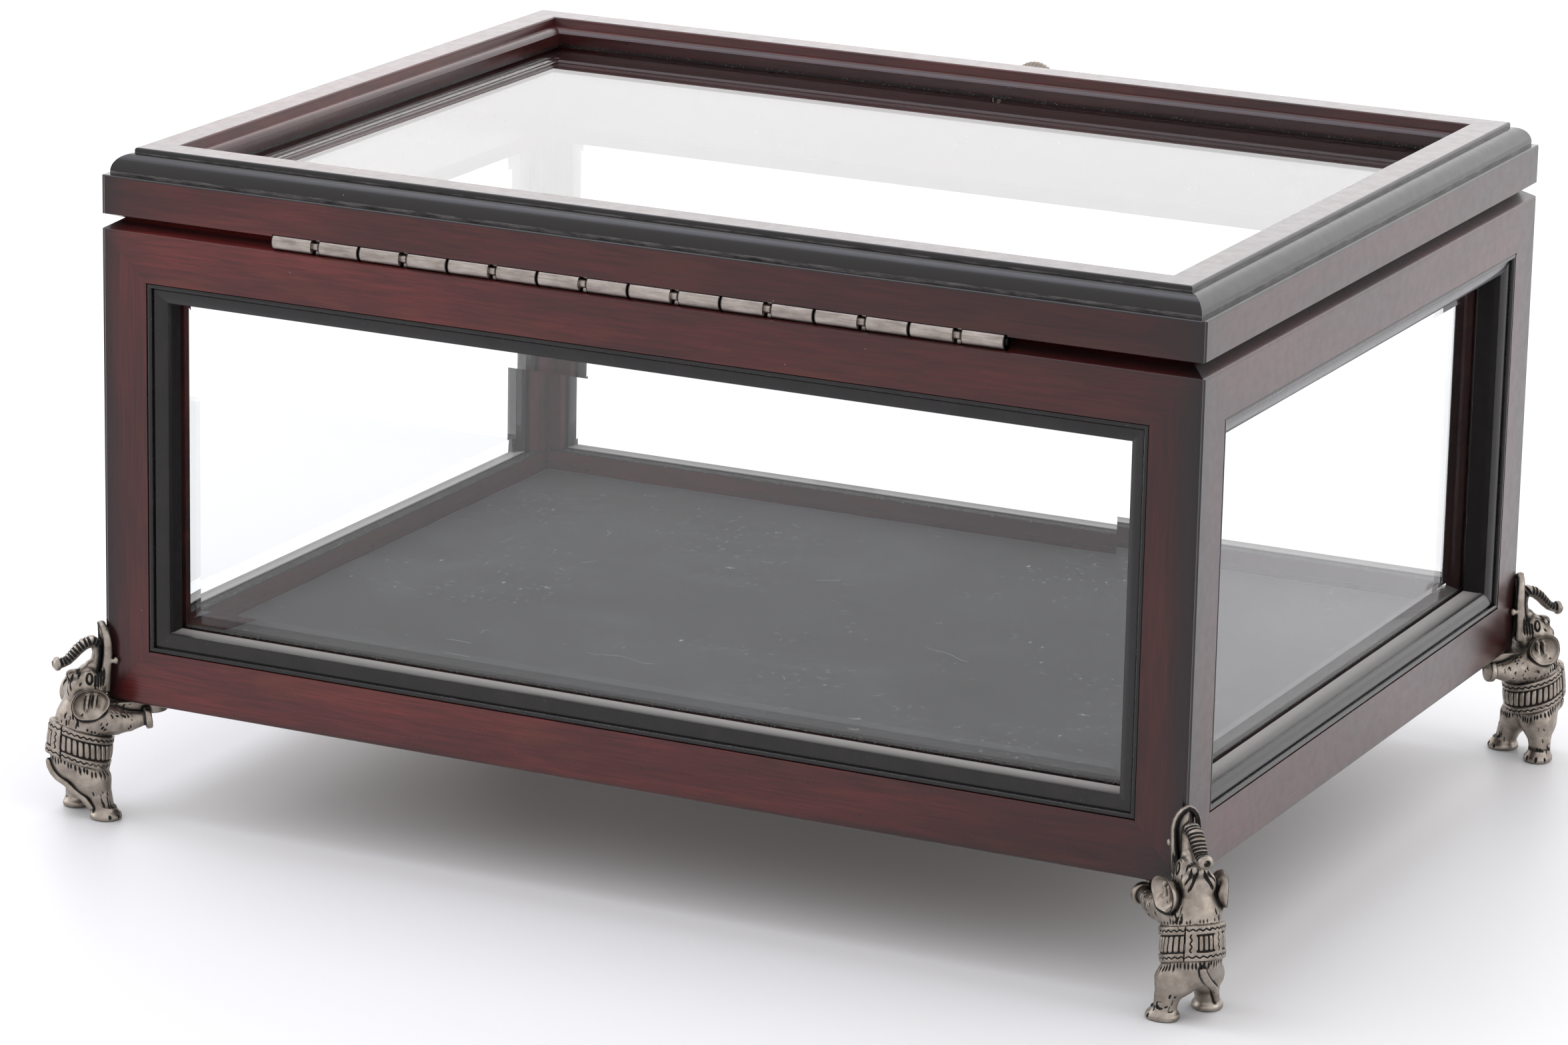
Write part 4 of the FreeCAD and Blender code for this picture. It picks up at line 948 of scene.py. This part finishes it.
def pewter():
    """Antiqued cast pewter: rubbed bright on the high spots, near black patina in the hollows."""
    g = Graph("pewter")
    recess = g.node("Attribute", attribute_name="recess").outputs["Fac"]
    grime = g.noise(g.place, 1500, 4, 0.75)
    coarse = g.noise(g.place, 210, 3, 0.6)
    colour = g.ramp(coarse, (0.3, (0.225, 0.19, 0.16)), (0.7, (0.4, 0.355, 0.31)))
    depth = g.plus(recess, g.times(g.minus(grime, 0.5), 0.16))
    patina = g.span(depth, 0.09, 0.4)
    colour = g.mix(patina, colour, (0.0105, 0.0095, 0.0085))
    colour = g.mix(g.span(grime, 0.62, 0.74, 0, 0.75), colour, (0.035, 0.031, 0.027))
    patches = g.span(g.noise(g.place, 130), 0.7, 0.74)
    verdigris = g.times(patches, g.span(grime, 0.5, 0.6), 0.8)
    return g.principled(
        Base_Color=g.mix(verdigris, colour, (0.02, 0.11, 0.06)),
        Metallic=g.span(patina, 0, 1, 1, 0.55),
        Roughness=g.span(depth, 0.05, 0.45, 0.36, 0.7),
        Normal=g.bump(grime, 0.0001, 0.45),
    )


def felt():
    """Charcoal felt: matted fibres, worn bluish clouds, short pale fibres and white dust."""
    g = Graph("felt")
    mat = g.noise(g.stretch((0.6, 1, 1)), 900, 3, 0.7, 0.5)
    colour = g.ramp(
        g.noise(g.stretch((1, 1.5, 1)), 11, 4, 0.62, 0.8),
        (0.3, (0.021, 0.0198, 0.0205)),
        (0.52, (0.03, 0.0288, 0.0305)),
        (0.72, (0.045, 0.045, 0.05)),
    )
    colour = g.scaled(colour, g.span(mat, 0.3, 0.7, 0.86, 1.14))
    patches = g.noise(g.stretch((1, 1, 1), (0.3, 0.2, 0.1)), 22, 4, 0.62)
    worn = g.span(patches, 0.4, 0.68, 0.12, 1)
    fibres, more = g.stretch((0.45, 1, 1)), g.stretch((0.45, 1, 1), (0.7, 0.1, 0))
    grains = g.stretch((1, 0.55, 1))
    for vector, amount, scale, size, strength in (
        (fibres, 0.5, 300, 0.2, 0.1),
        (more, 0.25, 240, 0.17, 0.18),
        (grains, 0.22, 260, 0.17, 0.2),
        (grains, 0.13, 150, 0.1, 0.36),
        (grains, 0.06, 90, 0.075, 0.65),
    ):
        specks = g.specks(vector, scale, size, 0.45, amount, 0.5, "2D")
        colour = g.mix(g.times(specks, worn, strength), colour, (0.42, 0.43, 0.44))
    return g.principled(
        Base_Color=colour,
        Roughness=0.93,
        Sheen_Weight=0.1,
        Sheen_Roughness=0.45,
        Specular_IOR_Level=0.15,
        Normal=g.bump(mat, 0.00003, 0.25),
    )


def floor_paper():
    g = Graph("floor_paper")
    tone = g.noise(g.place, 3)
    colour = g.ramp(tone, (0.3, (0.8, 0.795, 0.8)), (0.7, (0.82, 0.815, 0.82)))
    return g.principled(Base_Color=colour, Roughness=0.45, Specular_IOR_Level=0.3)


def plain(name, colour, roughness):
    g = Graph(name)
    tone = g.noise(g.stretch((0.2, 1, 1)), 200, 4, 0.6)
    darker = tuple(c * 0.6 for c in colour)
    return g.principled(Base_Color=g.ramp(tone, (0.3, darker), (0.7, colour)), Roughness=roughness)


def paint(name, material):
    """Put one material on every slot of a carried-over node."""
    if not nodes[name].material_slots:
        nodes[name].data.materials.append(material)
    for slot in nodes[name].material_slots:
        slot.link = "OBJECT"
        slot.material = material


def paint_nodes(cast, cloth):
    """Give each carried-over node its finish."""
    black, metal = moulding_black(), nickel()
    for side in ("front", "back", "left", "right"):
        along, facing = ("X", "Y") if side in ("front", "back") else ("Y", "X")
        for rail in ("bottom_rail", "top_rail"):
            paint(f"{side}_{rail}", wood(along, facing, "rail"))
        for end in ("left", "right"):
            paint(f"{side}_{end}_stile", wood("Z", facing, "stile"))
        paint(f"{side}_window_moulding", black)
        low, high = (Vector(corner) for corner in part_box(f"{side}_window_moulding"))
        half = (high - low)["XYZ".index(along)] / 2 - MOULDING
        edge = pane_edge(facing, half, low.z + MOULDING, high.z - MOULDING)
        paint(f"{side}_glass_pane", glass(f"glass_{side}", edge, (0.003, 0.0003), 0.14))
        paint(f"{side}_glass_stop", wood(along, facing, "inner"))
        paint(f"lid_{side}_rail", wood(along, facing, "lid"))
    paint("lid_glass_stop", wood("X", "Y", "inner"))
    paint("lid_glass", glass("glass_lid", lid_edge, (0.0022, 0.0002), 0.16))
    paint("bottom_panel", plain("plywood", (0.11, 0.045, 0.03), 0.7))
    paint("floor_lining", cloth)
    paint("lid_bumpers", plain("bumper", (0.5, 0.5, 0.48), 0.4))
    for name in nodes:
        if name.startswith("hinge_") or name.endswith(("screw", "screws")):
            paint(name, metal)
        elif name.endswith(("foot", "knob")):
            paint(name, cast)


def add_piece(name, mesh, material, body, node=None):
    """Add a piece that rides on a body, and stands for a CAD node if one is named."""
    piece = add_to_scene(name, mesh)
    mesh.materials.append(material)
    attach(piece, body)
    if node:
        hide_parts(node)
    return piece


def new_mesh(name, corners, faces):
    mesh = bpy.data.meshes.new(name)
    mesh.from_pydata(corners, [], faces)
    mesh.validate()
    return mesh


# ---- the felt and what lies on it
def add_felt(cloth):
    """The lining as a matted sheet with a hand-cut edge."""
    low, high = (np.array(corner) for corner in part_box("floor_lining"))
    rng = np.random.default_rng(11)
    step = 0.0016
    counts = np.round((high - low)[:2] / step).astype(int) + 1
    wide, deep = counts
    axes = [np.linspace(low[k], high[k], counts[k]) for k in (0, 1)]
    grid_x, grid_y = np.meshgrid(*axes, indexing="ij")

    def wander(count):
        knots = rng.uniform(0, 0.0006, 24)
        slow = np.interp(np.arange(count), np.linspace(0, count, 24), knots)
        return slow + rng.uniform(0, 0.00018, count)

    reach_x = (grid_x - grid_x.mean()) / (high[0] - low[0]) * 2
    reach_y = (grid_y - grid_y.mean()) / (high[1] - low[1]) * 2
    grid_x = grid_x - reach_x * np.where(np.abs(reach_x) > 0.985, wander(deep)[None, :], 0)
    grid_y = grid_y - reach_y * np.where(np.abs(reach_y) > 0.985, wander(wide)[:, None], 0)
    lumps = rng.uniform(-1, 1, grid_x.shape)
    for _ in range(2):
        lumps = (lumps + np.roll(lumps, 1, 0) + np.roll(lumps, 1, 1) + np.roll(lumps, -1, 0)) / 4
    top = high[2] - 0.00003 + 0.00002 * lumps
    border = np.maximum(np.abs(reach_x), np.abs(reach_y))
    top = np.minimum(top - 0.00025 * np.clip((border - 0.99) / 0.01, 0, 1), high[2])
    upper = np.stack([grid_x, grid_y, top], -1).reshape(-1, 3)
    lower = upper.copy()
    lower[:, 2] = low[2]
    below = wide * deep
    index = np.arange(below).reshape(wide, deep)
    quads = [index[:-1, :-1], index[1:, :-1], index[1:, 1:], index[:-1, 1:]]
    tops = np.stack(quads, -1).reshape(-1, 4)
    ring = np.concatenate([index[:-1, 0], index[-1, :-1], index[:0:-1, -1], index[0, :0:-1]])
    following = np.roll(ring, -1)
    sides = np.stack([ring, ring + below, following + below, following], 1)
    faces = np.concatenate([tops, tops[:, ::-1] + below, sides])
    mesh = new_mesh("felt", np.concatenate([upper, lower]).tolist(), faces.tolist())
    mesh.shade_smooth()
    sheet = add_piece("felt_lining", mesh, cloth, "case", "floor_lining")


def thread(points, corners, faces):
    """Add a thin closed tube along some points to lists of corners and faces."""
    radius = 0.00009
    first, last = len(corners), len(corners) + 4 * (len(points) - 1)
    for index, point in enumerate(points):
        ahead = points[min(index + 1, len(points) - 1)] - points[max(index - 1, 0)]
        side = np.array((-ahead[1], ahead[0], 0))
        side *= radius / max(np.linalg.norm(side), 1e-9)
        up = np.array((0, 0, radius))
        corners.extend((point + side, point + up, point - side, point - up))
    for base in range(first, last, 4):
        for turn in range(4):
            following = (turn + 1) % 4
            faces.append((base + turn, base + turn + 4, base + following + 4, base + following))
    faces.append((first, first + 1, first + 2, first + 3))
    faces.append((last + 3, last + 2, last + 1, last))


def heading_step(angle, length):
    return length * np.array((math.cos(angle), math.sin(angle), 0))


def add_lint():
    """A few loose hairs and tufts of lint that lie on the felt."""
    rng = np.random.default_rng(5)
    corners, faces = [], []
    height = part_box("floor_lining")[1][2] + 0.00012
    # Where each hair starts, its length, the way it heads and how much it bends.
    hairs = [
        ((0.055, 0.075), 0.03, 2.9, 0.5),
        ((0.105, 0.085), 0.011, 3, 0.2),
        ((-0.045, 0.01), 0.024, 2.6, 0.3),
    ]
    for _ in range(9):
        start = tuple(rng.uniform((-0.16, -0.11), (0.16, 0.11)))
        shape = [rng.uniform(*ends) for ends in ((0.003, 0.01), (0, 6.28), (-0.8, 0.8))]
        hairs.append((start, *shape))
    count = 14
    for (x, y), length, heading, bend in hairs:
        points = [np.array((x, y + CENTRE_Y, height))]
        for index in range(count - 1):
            swing = heading + bend * math.sin(index * 0.55) + bend * index / count
            points.append(points[-1] + heading_step(swing, length / count))
        thread(points, corners, faces)
    for x, y in ((-0.06, 0.098), (0.105, 0.012), (0.06, -0.045), (-0.125, 0.055)):
        for _ in range(9):
            heading, reach = rng.uniform(0, 6.28), rng.uniform(0.0008, 0.0026)
            stray = rng.uniform(-0.0006, 0.0006, 3) * (1, 1, 0)
            start = np.array((x, y + CENTRE_Y, height)) + stray
            points = [start + heading_step(heading, reach * part) for part in (0, 0.5, 1)]
            thread(points, corners, faces)
    mesh = new_mesh("lint", [tuple(corner) for corner in corners], faces)
    add_piece("lint", mesh, plain("lint", (0.34, 0.34, 0.33), 0.8), "case")


# ---- the castings
def tuck_in(mesh, start, limit):
    """Press the outermost points of a casting in, until it stands out no further than the limit."""
    points = np.empty(len(mesh.vertices) * 3)
    mesh.vertices.foreach_get("co", points)
    points = points.reshape(-1, 3)
    x, y, _ = points.T
    walls = np.stack([x - y, x + y]) * DIAGONAL
    share = (limit - start) / max(walls.max() - start, limit - start)
    walls = np.where(walls > start, start + (walls - start) * share, walls)
    x[:], y[:] = (walls[0] + walls[1]) * DIAGONAL, (walls[1] - walls[0]) * DIAGONAL
    mesh.vertices.foreach_set("co", points.ravel())
    mesh.update()


def add_feet(cast):
    """The same casting at each corner of the case."""
    mesh = sculpt_elephant(0.25)
    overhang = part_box("back_right_elephant_foot")[1][0] - CASE_X
    tuck_in(mesh, overhang - 0.002, overhang - 0.0001)
    corners = {"back_right": 45, "back_left": 135, "front_left": 225, "front_right": 315}
    for corner, turn in corners.items():
        x = CASE_X if corner.endswith("right") else -CASE_X
        y = CENTRE_Y + (CASE_Y if corner.startswith("back") else -CASE_Y)
        shape = mesh.copy()
        shape.transform(Matrix.Translation((x, y, 0)) @ Matrix.Rotation(math.radians(turn), 4, "Z"))
        node = f"{corner}_elephant_foot"
        add_piece(f"elephant_{corner}", shape, cast, "case", node)


def knob_distance(x, y, z):
    """A round base, a ringed neck and a flattened head with a beaded rim, standing along Z."""
    across = np.sqrt(x * x + y * y)
    base = np.maximum(across - 3.7 + 0.35 * ease(z, 0.5, 1.5), z - 1.6)
    waist = 0.35 * ease(np.abs(z - 5.5), 3.5, 0)
    neck = np.maximum(across - 3 + waist, z - 12)
    ring = np.sqrt((across - 2.7) ** 2 + (z - 5) ** 2) - 0.8
    beads = 0.6 * (0.5 + 0.5 * np.cos(np.arctan2(y, x) * 36)) * ease(across, 6.9, 8)
    head = ball((0, 0, 15.5), (8.6, 8.6, 6.45))[0](x, y, z) + beads
    button = np.abs(np.sqrt((across - 2.1) ** 2 + (z - 21.4) ** 2)) - 0.45
    total = lowest(lowest(np.minimum(base, ring), neck, 0.8), head, 1.2)
    return np.maximum(np.maximum(total, -button), -z)


def add_knob(cast):
    clay = Clay((-11, -11, -1), (11, 11, 23.5), 0.2)
    clay.add((knob_distance, (-10.6, -10.6, -0.8), (10.6, 10.6, 23)))
    mesh = clay.mesh("knob", lambda x, y, z: 0 * x)
    low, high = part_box("lid_knob")
    stand = Matrix(((1, 0, 0), (0, 0, -1), (0, 1, 0))).to_4x4()
    mesh.transform(Matrix.Translation((0, high[1], (low[2] + high[2]) / 2)) @ stand)
    add_piece("knob", mesh, cast, "lid", "lid_knob")


def add_floor():
    half = 6.0
    corners = [(x * half, y * half, 0) for x, y in ((-1, -1), (1, -1), (1, 1), (-1, 1))]
    floor = add_to_scene("floor", new_mesh("floor", corners, [(0, 1, 2, 3)]))
    floor.data.materials.append(floor_paper())


set_view()
add_camera()
add_world()
for lamp_name, lamp in LAMPS.items():
    add_lamp(lamp_name, *lamp)
add_floor()
pewter_finish, felt_finish = pewter(), felt()
paint_nodes(pewter_finish, felt_finish)
add_felt(felt_finish)
add_lint()
add_feet(pewter_finish)
add_knob(pewter_finish)
